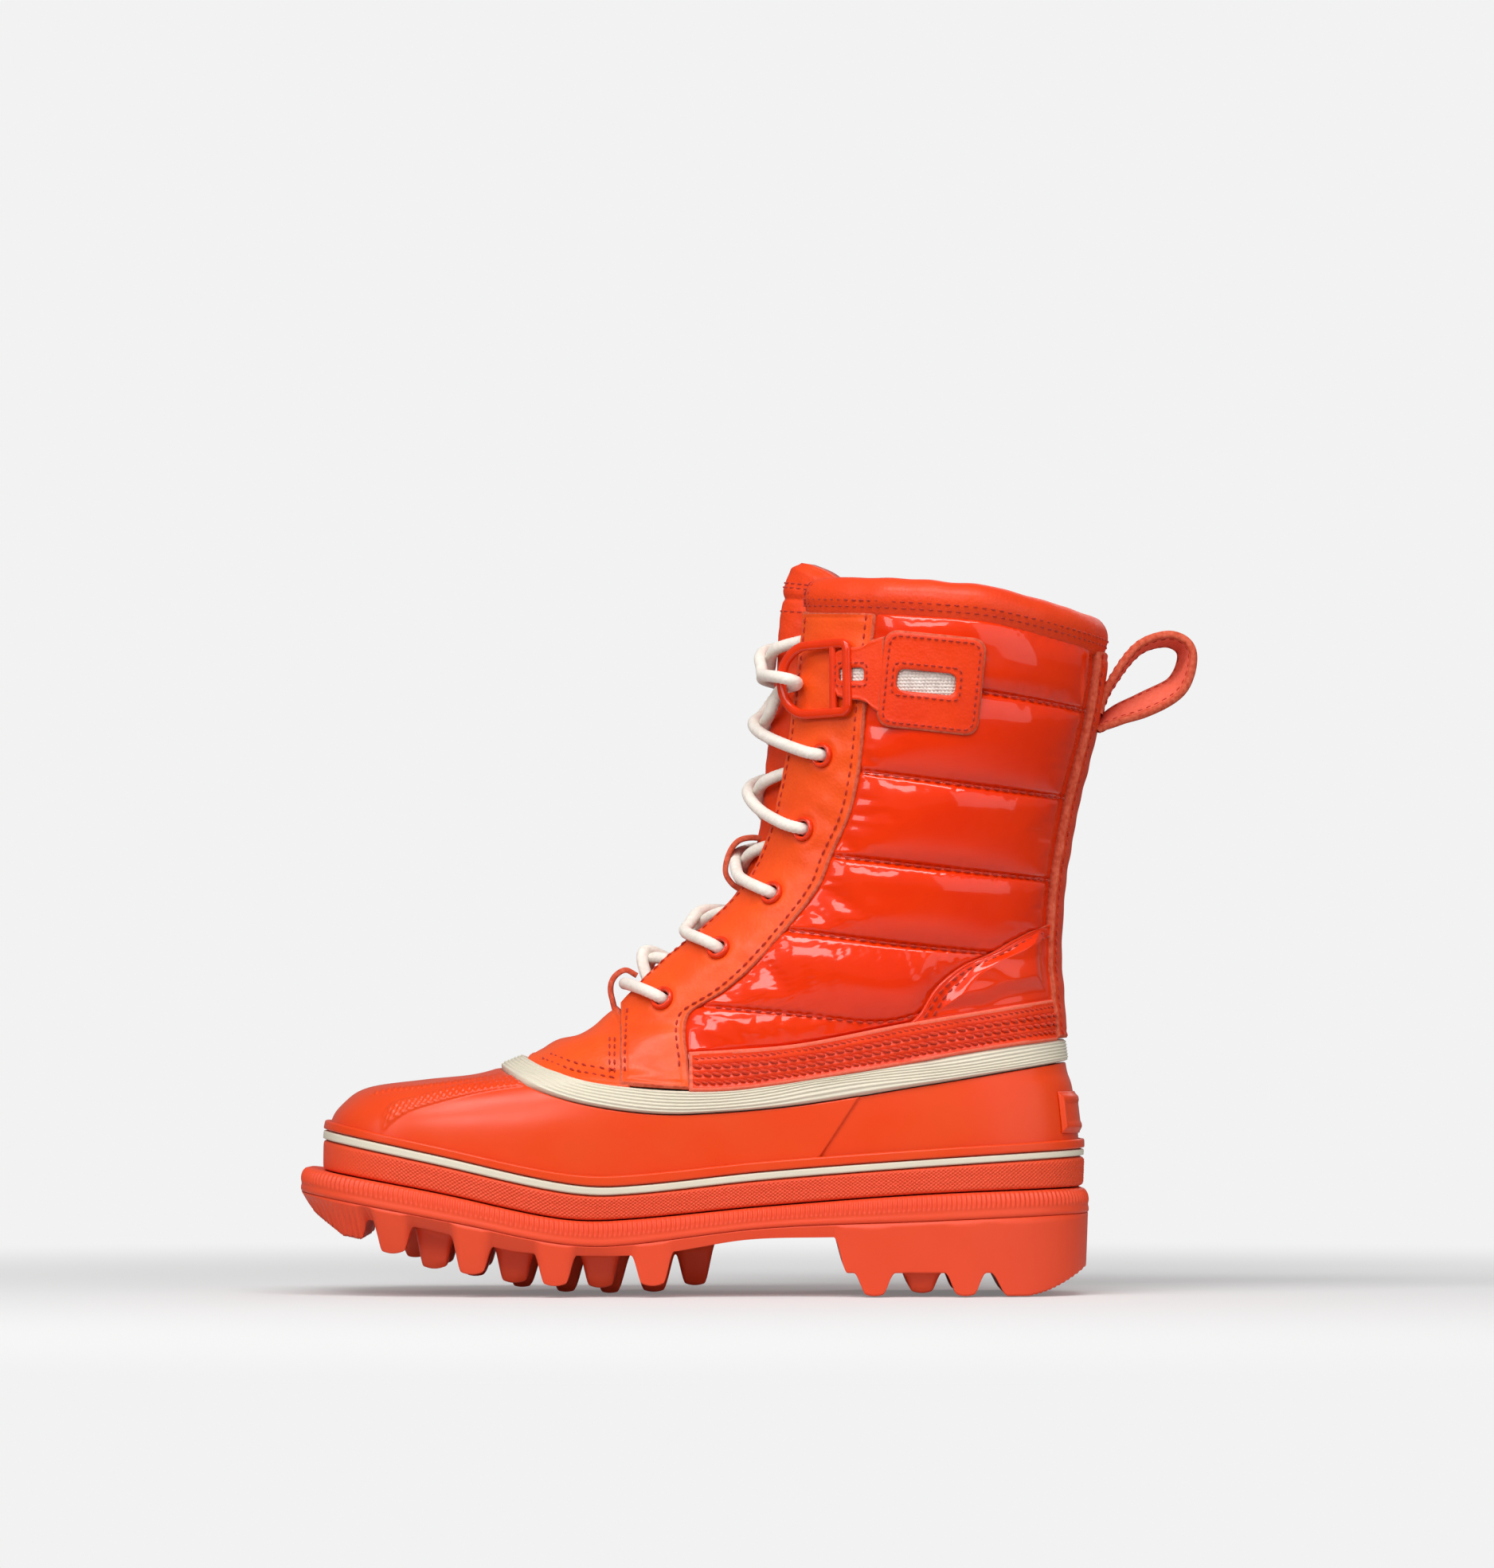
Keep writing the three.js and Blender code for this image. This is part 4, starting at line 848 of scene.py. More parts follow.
def make_shell():
    """The galosh: its outer wall, a shorter inner wall and a floor."""
    a, _, _ = around(1500)
    low = ring_at(level(bumper_top, 1.0), a)
    high = ring_at(level(rand_low, -0.35), a)
    rows = []
    for k in np.linspace(0, 1, 120):
        v = mix(low, high, k)
        relief = shell_emboss(face(v, a)) * smooth(0, 0.1, k)
        rows.append(on_face(v, a, relief - 0.5 * smooth(0.03, 0, k) - 0.3 * smooth(0.985, 1, k)))
    rows += [on_face(mix(low, high, k), a, -2.4) for k in (1, 0.8, 0.5, 0.2, 0)]
    floor = level(bumper_top, 3.3)
    rows += [sole_ring(a, floor, -4.6 + 0 * a), spine(a, floor, -4.6)]
    looped_piece("galosh", rows, RUBBER, "shell_rubber", "rubber_shell")


HEEL_PATCH_HALF = 0.32                # half the angle that the heel patch covers
HEEL_PATCH_Z = (58.5, 73.5)


def make_heel_patch():
    """A plain raised patch with a soft rim."""
    u = np.linspace(-1, 1, 120)
    a = math.pi + HEEL_PATCH_HALF * u
    side = 1 - np.abs(u)
    outside, inside = [], []
    for k in np.linspace(0, 1, 40):
        v = ring_at_height(mix(*HEEL_PATCH_Z, k), a)
        end = min(k, 1 - k)
        edge = np.minimum(smooth(0, 0.08, side), smooth(0, 0.16, end))
        rim = smooth(0.1, 0.16, side) * smooth(0.2, 0.3, end)
        outside.append(on_face(v, a, 0.6 + 1.1 * edge - 0.4 * rim))
        inside.append(on_face(v, a, 0.3))
    slab_piece("heel_badge", np.array(outside), np.array(inside), [RUBBER], "shell_rubber", "heel_patch")


# ---- stitching and leather panels ----------------------------------------------------
def ripple(x, z, length, seed):
    """Smooth irregular waves between about -1 and 1."""
    draw = np.random.default_rng(seed)
    total = 0
    for _ in range(7):
        turn = draw.uniform(0, math.pi)
        size = length * draw.uniform(0.6, 1.7)
        phase = draw.uniform(0, TAU)
        total = total + np.sin(TAU * (x * math.cos(turn) + z * math.sin(turn)) / size + phase)
    return total / 3.2


def dip(d, width):
    """A bell shape, 1 where d is 0."""
    return np.exp(-((d / width) ** 2))


STITCH_U = np.array([-1, -0.85, -0.5, 0, 0.5, 0.85, 1])      # shares of a stitch's half length
STITCH_SIDES = 6


def stitches(soup, base, out, long=2.4, gap=0.9, radius=0.42, slant=0.0):
    """Separate stitches along a path of points with their outward directions."""
    run = run_of(base)
    count = max(int(run[-1] / (long + gap)), 1)
    starts = (np.arange(count) + 0.5) * run[-1] / count
    s = starts[:, None] + STITCH_U * long / 2
    along, up = at_run(base, run, s), unit(at_run(out, run, s))
    side = np.cross(unit(np.gradient(along, axis=1)), up)
    lift = radius * (0.75 - 1.1 * STITCH_U ** 4)
    centre = along + up * lift[:, None] + side * (slant * STITCH_U)[:, None]
    ring = circle(side, up, STITCH_SIDES) * (radius * np.sqrt(1.02 - STITCH_U ** 2))[:, None, None]
    each = len(STITCH_U) * STITCH_SIDES
    quads = grid_quads(len(STITCH_U), STITCH_SIDES, wrap_m=True) + (np.arange(count) * each)[:, None, None]
    soup.add(centre[:, :, None] + ring, quads)


def stitch_row(soup, v, a, off, **more):
    """A row of stitches along a path of rings and angles on the face."""
    stitches(soup, on_face(v, a, off), normal(v, a), **more)


def stitch_at(soup, x, z, side, off, **more):
    """A row of stitches along side-view places."""
    stitch_row(soup, *locate(x, z, side), off, **more)


def curve_row(soup, curve, x0, x1, side, off, **more):
    """A row of stitches along a side-view curve."""
    x = np.linspace(x0, x1, max(int(abs(x1 - x0)), 4))
    stitch_at(soup, x, curve(x), side, off, **more)


def patch(side, n, m, left, right, bottom=None, top=None):
    """Rings and angles of a grid between two edges, each giving (x, z) by share.

    Its lower and upper edges run straight or along the side-view curves given."""
    s, r = np.linspace(0, 1, n), np.linspace(0, 1, m)
    l, g = np.stack(left(r), -1)[None], np.stack(right(r), -1)[None]

    def across(k, curve):
        row = mix(l[0, k], g[0, k], s[:, None])
        if curve:
            row[:, 1] = curve(row[:, 0])
        return row[:, None]

    b, t = across(0, bottom), across(-1, top)
    s, r = s[:, None, None], r[None, :, None]
    grid = ((1 - r) * b + r * t + (1 - s) * l + s * g
            - (1 - s) * (1 - r) * b[0, 0] - s * (1 - r) * b[-1, 0]
            - (1 - s) * r * t[0, 0] - s * r * t[-1, 0])
    return locate(grid[..., 0], grid[..., 1], side)


def rim_distance(points):
    """How far each grid point is from the grid's nearest edge."""
    n, m = points.shape[:2]
    di = np.linalg.norm(np.diff(points, axis=0), axis=-1)
    dj = np.linalg.norm(np.diff(points, axis=1), axis=-1)
    si = np.concatenate([np.zeros((1, m)), np.cumsum(di, axis=0)])
    sj = np.concatenate([np.zeros((n, 1)), np.cumsum(dj, axis=1)], axis=1)
    return np.minimum(np.minimum(si, si[-1:] - si), np.minimum(sj, sj[:, -1:] - sj))


def leather_plate(name, v, a, off, thick, node, relief, materials, slot="leather", rim=1.1, edge=0.75):
    """A leather piece over grids of rings and angles, with a rolled edge of raw leather.

    relief(points, distance from the rim) adds to its height."""
    base, out = face(v, a), normal(v, a)
    d = rim_distance(base)
    height = off - 0.55 * (1 - smooth(0, rim, d)) ** 2 - 0.22 * dip(d - 2.3, 0.8)
    height = height + 0.2 * ripple(base[..., 0], base[..., 2], 15, 5) + relief(base, d)
    points, quads, which = slab(base + out * height[..., None], base + out * (off - thick))
    middle = (d[:-1, :-1] + d[1:, 1:]) / 2
    which[:middle.size] = middle.ravel() < edge
    new_piece(name, points, quads, materials, stands_for=[node], slot=slot, which=which)


EYESTAY_OFF = 0.9
EYESTAY_TOP = 247.9
EYESTAY_BEND = 1.35                   # gathers the facing's rows where its edges bend, low down


def make_eyestay(word, side, soup):
    """The facing, dimpled round its lace holes, with its stitching."""
    n, m = ((84, 620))
    rear_low = float(rand_high(-21)) + 0.3
    rear_high = float(collar_low(46)) - 0.2
    front_low = float(rand_high(THROAT)) + 0.3
    holes = [place(x, z, side, 0) for x, z in EYELETS]

    def left(r):
        z = mix(front_low, EYESTAY_TOP, r ** EYESTAY_BEND)
        return np.maximum(THROAT + 0.4, edge_at_y(z, half_gap(z), False)), z

    def right(r):
        z = mix(rear_low, rear_high, r ** EYESTAY_BEND)
        return eyestay_rear(z) + 0.6, z

    def dimples(base, d):
        total = 0 * d
        for hole in holes:
            r = np.linalg.norm(base - hole, axis=-1)
            total += 0.35 * dip(r - 6, 2) - 3.0 * smooth(3.6, 3.0, r)
        return total

    v, a = patch(side, n, m, left, right)
    leather_plate(f"facing_{word}", v, a, EYESTAY_OFF, 2.6, f"eyestay_{word}", dimples,
                  [LEATHER, SUEDE], edge=1.0)
    off = EYESTAY_OFF - 0.12
    z = np.linspace(112, 246, 90)
    stitch_row(soup, *front_angle(z, side * (half_gap(z) + 3.0)), off)
    z = np.concatenate([np.linspace(82, 101, 24), np.linspace(102, 246, 140)])
    stitch_at(soup, eyestay_rear(z) - 2.6, z, side, off)
    throat = resample([(THROAT + 2.2, 80), (THROAT + 2.4, 92), (THROAT + 3.4, 104)], 0.8)[0]
    stitch_at(soup, *throat.T, side, off)


QUILT_SEAMS = (
    line((-11.2, 104.1), (20, 101.3), (50.2, 98.9), (75, 106), (112, 113)),
    line((17.2, 131.7), (60, 126.2), (109.3, 121.9)),
    line((32.4, 158.6), (75, 153.6), (113.5, 149.9)),
    line((40.6, 189.2), (80, 184.0), (117.4, 179.8)),
    line((40, 222.6), (82.4, 217.8), (124.7, 211.5)),
)
COUNTER_EDGE = through([
    (90, 40), (98.6, 58.9), (111.5, 68.4), (119.2, 78), (123.5, 87.7), (128.8, 97.2), (133.7, 110.2),
    (134.5, 125),
])
REAR_LEVELS = np.linspace(80, 250, 60)


def rear_x(z, y):
    """The side-view x, at heights z, of the line y off the middle of the boot's back."""
    return np.interp(z, REAR_LEVELS, edge_at_y(REAR_LEVELS, y, True))


def quilt_grid(n, rows_each):
    """Side-view grid of the quilted panel, whose rows fall on its seams, and its row numbers."""
    seams = [level(mud_top, -2.5), *QUILT_SEAMS, level(collar_low, 2.0)]
    last = len(seams) - 1
    s = np.linspace(0, 1, n)[:, None]
    t = np.linspace(0, last, rows_each * last + 1)[None, :] + 0 * s
    z = mix(85, 245, t / last)
    low = np.clip(np.floor(t).astype(int), 0, last - 1)[None]
    for _ in range(6):
        x = mix(eyestay_rear(z) - 2.2, rear_x(z, BACK_HALF - 1.5), s)
        heights = np.stack([seam(x) for seam in seams])
        under, above = (np.take_along_axis(heights, k, 0)[0] for k in (low, low + 1))
        z = mix(under, above, t - low[0])
    return x, z, t


def held_down(x, z):
    """1 where another leather piece covers the quilt or it is sewn at its edge."""
    front = smooth(1.2, -0.5, x - eyestay_rear(z))
    counter = smooth(1.5, -0.5, (COUNTER_EDGE(z) - x) * 0.75) * smooth(138, 135, z)
    rear = smooth(3.0, 1.0, rear_x(z, BACK_HALF) - x)
    low = smooth(1.2, 0, z - mud_top(x))
    high = smooth(1.0, 0, collar_low(x) - z)
    return np.clip(np.maximum.reduce([front, counter, rear, low, high]), 0, 1)


CLOTH_SCALE = 0.01                    # the cloth is blown out at ten times its real size
CLOTH_FRAMES = 20
CLOTH = {
    "quality": 5,
    "mass": 0.3,
    "tension_stiffness": 12,
    "compression_stiffness": 12,
    "shear_stiffness": 6,
    "bending_stiffness": 0.6,
    "vertex_group_mass": "held",
    "shrink_min": -0.028,
    "shrink_max": -0.028,
    "use_pressure": True,
    "uniform_pressure_force": 4.0,
}
MOST_STRETCH = 3.0                    # the most that the cloth's movement may be enlarged


def make_cloth(points, quads, held):
    """A cloth object that is pinned where held is 1."""
    mesh = bpy.data.meshes.new("puff")
    mesh.from_pydata([tuple(q) for q in points], [], quads.tolist())
    obj = bpy.data.objects.new("puff", mesh)
    bpy.context.scene.collection.objects.link(obj)
    group = obj.vertex_groups.new(name="held")
    for i in np.flatnonzero(held.ravel() > 0.5):
        group.add([int(i)], 1.0, "REPLACE")
    cloth = obj.modifiers.new("puff", "CLOTH")
    for key, value in CLOTH.items():
        setattr(cloth.settings, key, value)
    cloth.settings.effector_weights.gravity = 0
    cloth.collision_settings.use_collision = False
    return obj


def puffed(base, out, held, wanted):
    """Cloth blown out between its held points; returns how far each point moved, in mm."""
    n, m = base.shape[:2]
    obj = make_cloth(base.reshape(-1, 3) * CLOTH_SCALE, grid_quads(n, m), held)
    scene = bpy.context.scene
    for step in range(1, CLOTH_FRAMES + 1):
        scene.frame_set(step)
    shape = obj.evaluated_get(bpy.context.evaluated_depsgraph_get()).to_mesh()
    co = np.empty(n * m * 3)
    shape.vertices.foreach_get("co", co)
    scene.frame_set(1)
    bpy.data.objects.remove(obj)
    move = co.reshape(n, m, 3) / CLOTH_SCALE - base
    rise = np.sum(move * out, -1)
    if np.median(rise[held < 0.5]) < 0:
        move, rise = -move, -rise
    return move * min(wanted / max(np.percentile(rise, 97), 1e-6), MOST_STRETCH)


def eased(move, fixed):
    """The cloth's movement with its small creases smoothed out along the panel."""
    for _ in range(9):
        sides = np.concatenate([move[1:], move[-1:]]) + np.concatenate([move[:1], move[:-1]])
        move = 0.5 * move + 0.25 * sides
        ends = (np.concatenate([move[:, 1:], move[:, -1:]], axis=1)
                + np.concatenate([move[:, :1], move[:, :-1]], axis=1))
        move = (0.8 * move + 0.1 * ends) * (1 - fixed)[..., None]
    return move


def refine(values, n, m):
    """A coarse grid of values resampled smoothly to n by m."""
    def spread(data, count):
        q = np.linspace(0, len(data) - 1, count)
        k = np.clip(q.astype(int), 0, len(data) - 2)
        t = (q - k).reshape(-1, *[1] * (data.ndim - 1))
        p0, p1 = data[np.maximum(k - 1, 0)], data[k]
        p2, p3 = data[k + 1], data[np.minimum(k + 2, len(data) - 1)]
        return 0.5 * (2 * p1 + (p2 - p0) * t + (2 * p0 - 5 * p1 + 4 * p2 - p3) * t ** 2
                      + (3 * p1 - p0 - 3 * p2 + p3) * t ** 3)

    wide = spread(values, n)
    return np.swapaxes(spread(np.swapaxes(wide, 0, 1), m), 0, 1)


PUFF = 3.2                            # how far a quilt stands out between its seams, mm
QUILT_HIGH = 29                       # a quilt's height, mm, which turns row numbers into mm


def quilt_relief(x, z, t, held):
    """The seams' grooves, the puckers beside them and the cloth's slow waves."""
    near = np.abs(t - np.round(t)) * QUILT_HIGH
    near = np.where((np.round(t) == 0) | (np.round(t) == len(QUILT_SEAMS) + 1), 20, near)
    pucker = 0.1 * ripple(x, z * 0.2, 8, 11) * dip(near - 2, 2.8)
    drape = 0.34 * ripple(x * 0.5, z, 30, 3)
    return (pucker + drape) * (1 - held) * smooth(0, 2.5, near) - 0.7 * dip(near, 1.1) - 0.9 * held


def make_quarter(word, side, soup):
    """The quilted shaft panel, blown out as cloth between its seams, and its stitching."""
    x, z, t = quilt_grid(64, 16)
    v, a = locate(x, z, side)
    base, out = face(v, a), normal(v, a)
    held = held_down(x, z)
    part = t - np.floor(t)
    fixed = np.maximum(held, np.abs(t - np.round(t)) < 0.01)
    move = puffed(base, out, fixed, PUFF)
    move = mix(eased(move, fixed), move, 0.22)
    fine = ((190, 400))
    base, out = refine(base, *fine), unit(refine(out, *fine))
    move, held, t = refine(move, *fine), np.clip(refine(held, *fine), 0, 1), refine(t, *fine)
    height = quilt_relief(base[..., 0], base[..., 2], t, held)
    outside = base + move + out * height[..., None]
    obj = slab_piece(f"quilt_{word}", outside, base - out * 2.6, [PATENT, SUEDE],
                     "patent_quilting", f"quarter_{word}")
    for seam in QUILT_SEAMS:
        x = np.linspace(-12, 128, 400)
        z = seam(x)
        keep = (x > eyestay_rear(z) + 1) & (x < edge_at_y(z, BACK_HALF + 0.5, True) - 0.5)
        keep &= (x < COUNTER_EDGE(z) - 1) | (z > 135)
        if keep.sum() > 8:
            stitch_at(soup, x[keep], z[keep], side, 0.05, long=2.6, gap=1.0, radius=0.4)


COUNTER_TOP = 133.0


def make_heel_counter(word, side, soup):
    """The padded panel over the heel, with two rows of stitches along its front edge."""
    n, m = ((120, 120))

    def left(r):
        z = mix(float(mud_top(59)) - 1.5, COUNTER_TOP, r)
        return COUNTER_EDGE(z), z

    def right(r):
        z = mix(float(mud_top(110)) - 2, COUNTER_TOP + 1.6, r)
        return edge_at_y(z, BACK_HALF - 1.5, True), z

    def puff(base, d):
        return 2.4 * smooth(5, 13, d) + 0.25 * ripple(base[..., 0], base[..., 2], 13, 8) * smooth(4, 9, d)

    v, a = patch(side, n, m, left, right, bottom=level(mud_top, -1.5))
    leather_plate(f"counter_{word}", v, a, 0.9, 2.4, f"heel_counter_{word}", puff,
                  [PATENT, SUEDE], "patent_quilting", edge=0.0)
    for back in (2.0, 4.2):
        z = np.linspace(99, 132.5, 60)
        keep = z - back * 0.55 > mud_top(COUNTER_EDGE(z) + back) + 0.5
        x, z = (COUNTER_EDGE(z) + back * 0.9)[keep], (z - back * 0.55)[keep]
        stitch_at(soup, x, z, side, 0.85)


GUARD_START = -20.9
GUARD_HIGH = 13.6
# rows of heavy stitches: height on the mudguard, thread radius, stitch length
WELT_ROWS = ((2.6, 0.5, 2.6), (5.4, 0.72, 3.3), (8.3, 0.72, 3.3), (11.2, 0.4, 2.2))


def guard_line(rise):
    """A side-view curve `rise` mm up the mudguard."""
    return lambda x: mix(rand_high(x), mud_top(x), rise / GUARD_HIGH)


def make_mudguard(word, side):
    """The leather strip above the cream band, furrowed where its heavy stitches lie."""
    n, m = ((420, 44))
    bottom = level(rand_high, -0.5)
    low = float(edge_at_y(93.8, BACK_HALF - 1.0, True))
    high = float(edge_at_y(107, BACK_HALF - 1.0, True))
    rises = np.array([rise for rise, _, _ in WELT_ROWS[:3]])

    def left(r):
        return GUARD_START + 0 * r, mix(bottom(GUARD_START), mud_top(GUARD_START), r)

    def right(r):
        return mix(low, high, r), mix(bottom(low), mud_top(high), r)

    def furrows(base, d):
        x, z = base[..., 0], base[..., 2]
        share = (z - rand_high(x)) / (mud_top(x) - rand_high(x))
        return -0.55 * dip(np.abs(share[..., None] * GUARD_HIGH - rises).min(-1), 0.9)

    v, a = patch(side, n, m, left, right, bottom, mud_top)
    leather_plate(f"guard_{word}", v, a, 1.5, 3.0, f"mudguard_{word}", furrows, [DEEP, LINING],
                  rim=0.7, edge=1.2)
    heavy = Soup()
    for rise, radius, long in WELT_ROWS:
        curve_row(heavy, guard_line(rise), -19.5, low - 1, side, 1.15,
                  radius=radius, long=long, gap=0.1, slant=0.45)
    heavy.piece(f"welt_stitches_{word}", [HEAVY_THREAD], slot="leather")


VAMP_START = -80.4                    # x of the vamp's foremost edge
VAMP_RIDGE = (7.12, 9.9)              # the rings on which its middle line starts and ends


def make_vamp(soup):
    """The leather over the instep, from the shell to the facings, across both sides."""
    n, m = ((110, 130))
    s = np.linspace(0, 1, n)[:, None]
    j = np.linspace(-1, 1, 2 * m + 1)[None, :]
    r = 1 - np.abs(j)
    w = r * (2 - r)
    ridge = mix(*VAMP_RIDGE, s)
    x0 = mix(VAMP_START, THROAT + 4.0, s) + 0 * w
    x = mix(x0, at(FX, ridge) + 0 * w, w ** (1 + 3 * s))
    z = mix(rand_high(x0) - 1.0, at(FZ, ridge) + 0 * w, w)
    v, a = ridge + 0 * x, 0 * x
    for half, side in ((slice(0, m), OUTER), (slice(m + 1, None), INNER)):
        v[:, half], a[:, half] = locate(x[:, half], z[:, half], side)

    def creases(base, d):
        return 0.5 * ripple(base[..., 0], base[..., 1] * 0.35, 19, 21) * smooth(1, 8, d)

    leather_plate("vamp_leather", v, a, 0.4, 2.2, "vamp", creases, [LEATHER, SUEDE])
    for side in (OUTER, INNER):
        for back in (1.6, 3.4):
            z = np.linspace(80, 93.5, 24)
            stitch_at(soup, THROAT - back + 0 * z, z, side, 0.35, radius=0.36)
        for rise in (2.6, 5.4):
            curve_row(soup, level(rand_high, rise), -77 + rise, THROAT - 1, side, 0.35, slant=0.2)


BACKSTAY_TOP = 233.5


def make_backstay(soup):
    """The strip down the heel, of an even width though the boot's back narrows."""
    n, m = ((50, 380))
    z = np.linspace(float(rand_high(112)) + 0.4, BACKSTAY_TOP, m)[None, :]
    y = np.linspace(-BACK_HALF, BACK_HALF, n)[:, None]
    a = math.pi + 0.35 * y / BACK_HALF + 0 * z
    z = z + 0 * y
    for _ in range(8):
        v = ring_at_height(z, a)
        wide = np.abs(face(v, a)[..., 1])
        reach = np.clip(np.abs(y) / np.maximum(wide, 0.5), 0.5, 2) ** (1 / at(ROUND, v))
        a = math.pi + np.sign(y) * np.arcsin(np.clip(np.abs(np.sin(a)) * reach, 0, 0.9))
    v = ring_at_height(z, a)
    leather_plate("backstay_leather", v, a, 2.3, 4.0, "backstay", lambda base, d: 0 * d,
                  [SOFT, SUEDE], edge=1.1)
    for share in (0.09, 0.91):
        i = int(share * (n - 1))
        stitch_row(soup, v[i], a[i], 2.05, radius=0.38)


# ---- collar, tongue, inner boot ------------------------------------------------------
COLLAR_START = 0.43                   # angle from the toe at which the collar's ends lie
# the roll's section: off the face, up from the collar's lower line
COLLAR_SECTION = np.array([
    [0.4, -1.4], [1.3, 0.8], [2.2, 3.4], [2.4, 6.2], [1.7, 8.8], [-0.2, 11.4], [-3.4, 12.6],
    [-6.8, 11.6], [-8.8, 9.6], [-9.6, 5.6], [-9.4, 1], [-8.4, -3], [-5.4, -3.8], [-2.0, -3.2],
])


def smooth_section(corners, count):
    """A closed curve through a section's corners, and its shares of the corners passed."""
    k = np.linspace(0, len(corners), count, endpoint=False)
    knots = np.arange(-2, len(corners) + 3)
    columns = [np.take(c, knots, mode="wrap") for c in corners.T]
    return np.stack([through(np.column_stack([knots, c]))(k) for c in columns], -1), k


def make_collar(soup):
    """The padded roll round the shaft's top, open at the front, with its stitching."""
    count, ring = ((260, 40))
    section, k = smooth_section(COLLAR_SECTION, ring)
    a = np.linspace(COLLAR_START, TAU - COLLAR_START, count)
    grid = np.stack([on_face(ring_at(level(collar_low, rise), a), a, off) for off, rise in section], 1)
    middle = grid.mean(1, keepdims=True)
    out = unit(grid - middle)
    x = run_of(grid[:, 4])[:, None]
    lower = smooth(1.6, 3.4, section[:, 1]) + smooth(-0.5, -4, section[:, 0])
    fold = 0.22 * ripple(x + 0 * k, k * 2.2, 22, 31) * np.clip(lower, 0, 1)
    full = 0.82 + 0.18 * smooth(0, 5, np.minimum(x, x[-1] - x)) ** 0.5
    grid = mix(middle, grid + out * fold[..., None], full[..., None])
    caps = [mix(middle[0], grid[0], share) for share in (0, 0.6)]
    tail = [mix(middle[-1], grid[-1], share) for share in (0.6, 0)]
    obj = looped_piece("collar_roll", [*caps, *grid, *tail], SOFT, "leather", "collar")
    for rise, off in ((1.6, 1.25), (3.8, 1.95)):
        stitch_row(soup, ring_at(level(collar_low, rise), a), a, off, radius=0.4)
    rises = np.linspace(1, 11, 20)
    off = np.interp(rises, COLLAR_SECTION[:6, 1], COLLAR_SECTION[:6, 0]) - 0.1
    for step in (0.035, 0.085):
        for end in (COLLAR_START + step, TAU - COLLAR_START - step):
            v = np.array([float(ring_at(level(collar_low, rise), end)) for rise in rises])
            stitch_row(soup, v, end + 0 * rises, off, radius=0.36)


# how far the tongue's crown stands off the boot's front, by height
TONGUE_CROWN = through([
    (95, -3), (120, -2.4), (137, -1.4), (150, -0.5), (166, 0.6), (180, 1.6), (193, 2.5), (215, 3.2),
    (230, 3.5), (241, 4.0), (255, 3.5), (266, 1.6),
])
TONGUE_RINGS = (9.35, 19.4)           # the rings on which the tongue's middle starts and ends
TONGUE_LIP_Z = 253                    # height of the seam under the tongue's folded edge


def tongue_off(v, y, z):
    """How far the tongue's outer face stands off the boot's face, and where its lip is."""
    crown = dip(y, mix(7, 13.5, smooth(9, 15, v)))
    under = mix(-8.4, -10.6, smooth(15.5, 17.5, v))
    lip = smooth(TONGUE_LIP_Z, TONGUE_LIP_Z + 3.5, z)
    off = mix(under, TONGUE_CROWN(z), crown) + 0.9 * lip - 0.5 * dip(z - TONGUE_LIP_Z, 0.9)
    return off + 0.35 * ripple(y * 0.6, z, 17, 41) * crown + 0.12 * ripple(y, z, 6, 42), lip


def tongue_angles(v, y):
    """The angles of places y off the middle of the boot's front."""
    return angle_of(v, y) * np.where(y < 0, 1, -1)


def make_tongue(soup):
    """The tongue: crowned along its middle, tucked under the facings, with a folded top edge."""
    n, m = ((110, 420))
    share = np.linspace(-1, 1, n)[:, None]
    low, high = TONGUE_RINGS
    top = high - 0.85 * share ** 2
    v = mix(low, top, np.linspace(0, 1, m)[None, :])
    y = share * mix(10, 26, smooth(9, 15, v))
    a = tongue_angles(v, y)
    base, out = face(v, a), normal(v, a)
    off, lip = tongue_off(v, y, base[..., 2])
    off = off - 3.0 * smooth(-0.3, 0, v - top) ** 2
    outside = base + out * off[..., None]
    inside = outside - out * (3.2 + 1.5 * lip)[..., None]
    obj = slab_piece("tongue_leather", outside, inside, [SOFT, SOFT], "leather", "tongue")
    for ring, width in ((18.72, 22), (18.58, 22), (17.9, 20)):
        y = np.linspace(-width, width, 60)
        v = ring + 0 * y
        a = tongue_angles(v, y)
        off, _ = tongue_off(v, y, face(v, a)[..., 2])
        stitch_row(soup, v, a, off - 0.1, radius=0.36)


def sole_pad(name, node, off, low, high):
    """A pad with rounded edges inside the sole, between two heights over the bumper's top."""
    a = np.linspace(0, TAU, 160, endpoint=False)
    rows = [spine(a, level(bumper_top, low), off)]
    for share, inset in ((0, -0.8), (0.25, 0), (0.75, 0), (1, -0.8)):
        rows.append(sole_ring(a, level(bumper_top, mix(low, high, share)), off + inset + 0 * a))
    rows.append(spine(a, level(bumper_top, high), off))
    looped_piece(name, rows, FELT, "felt", node)


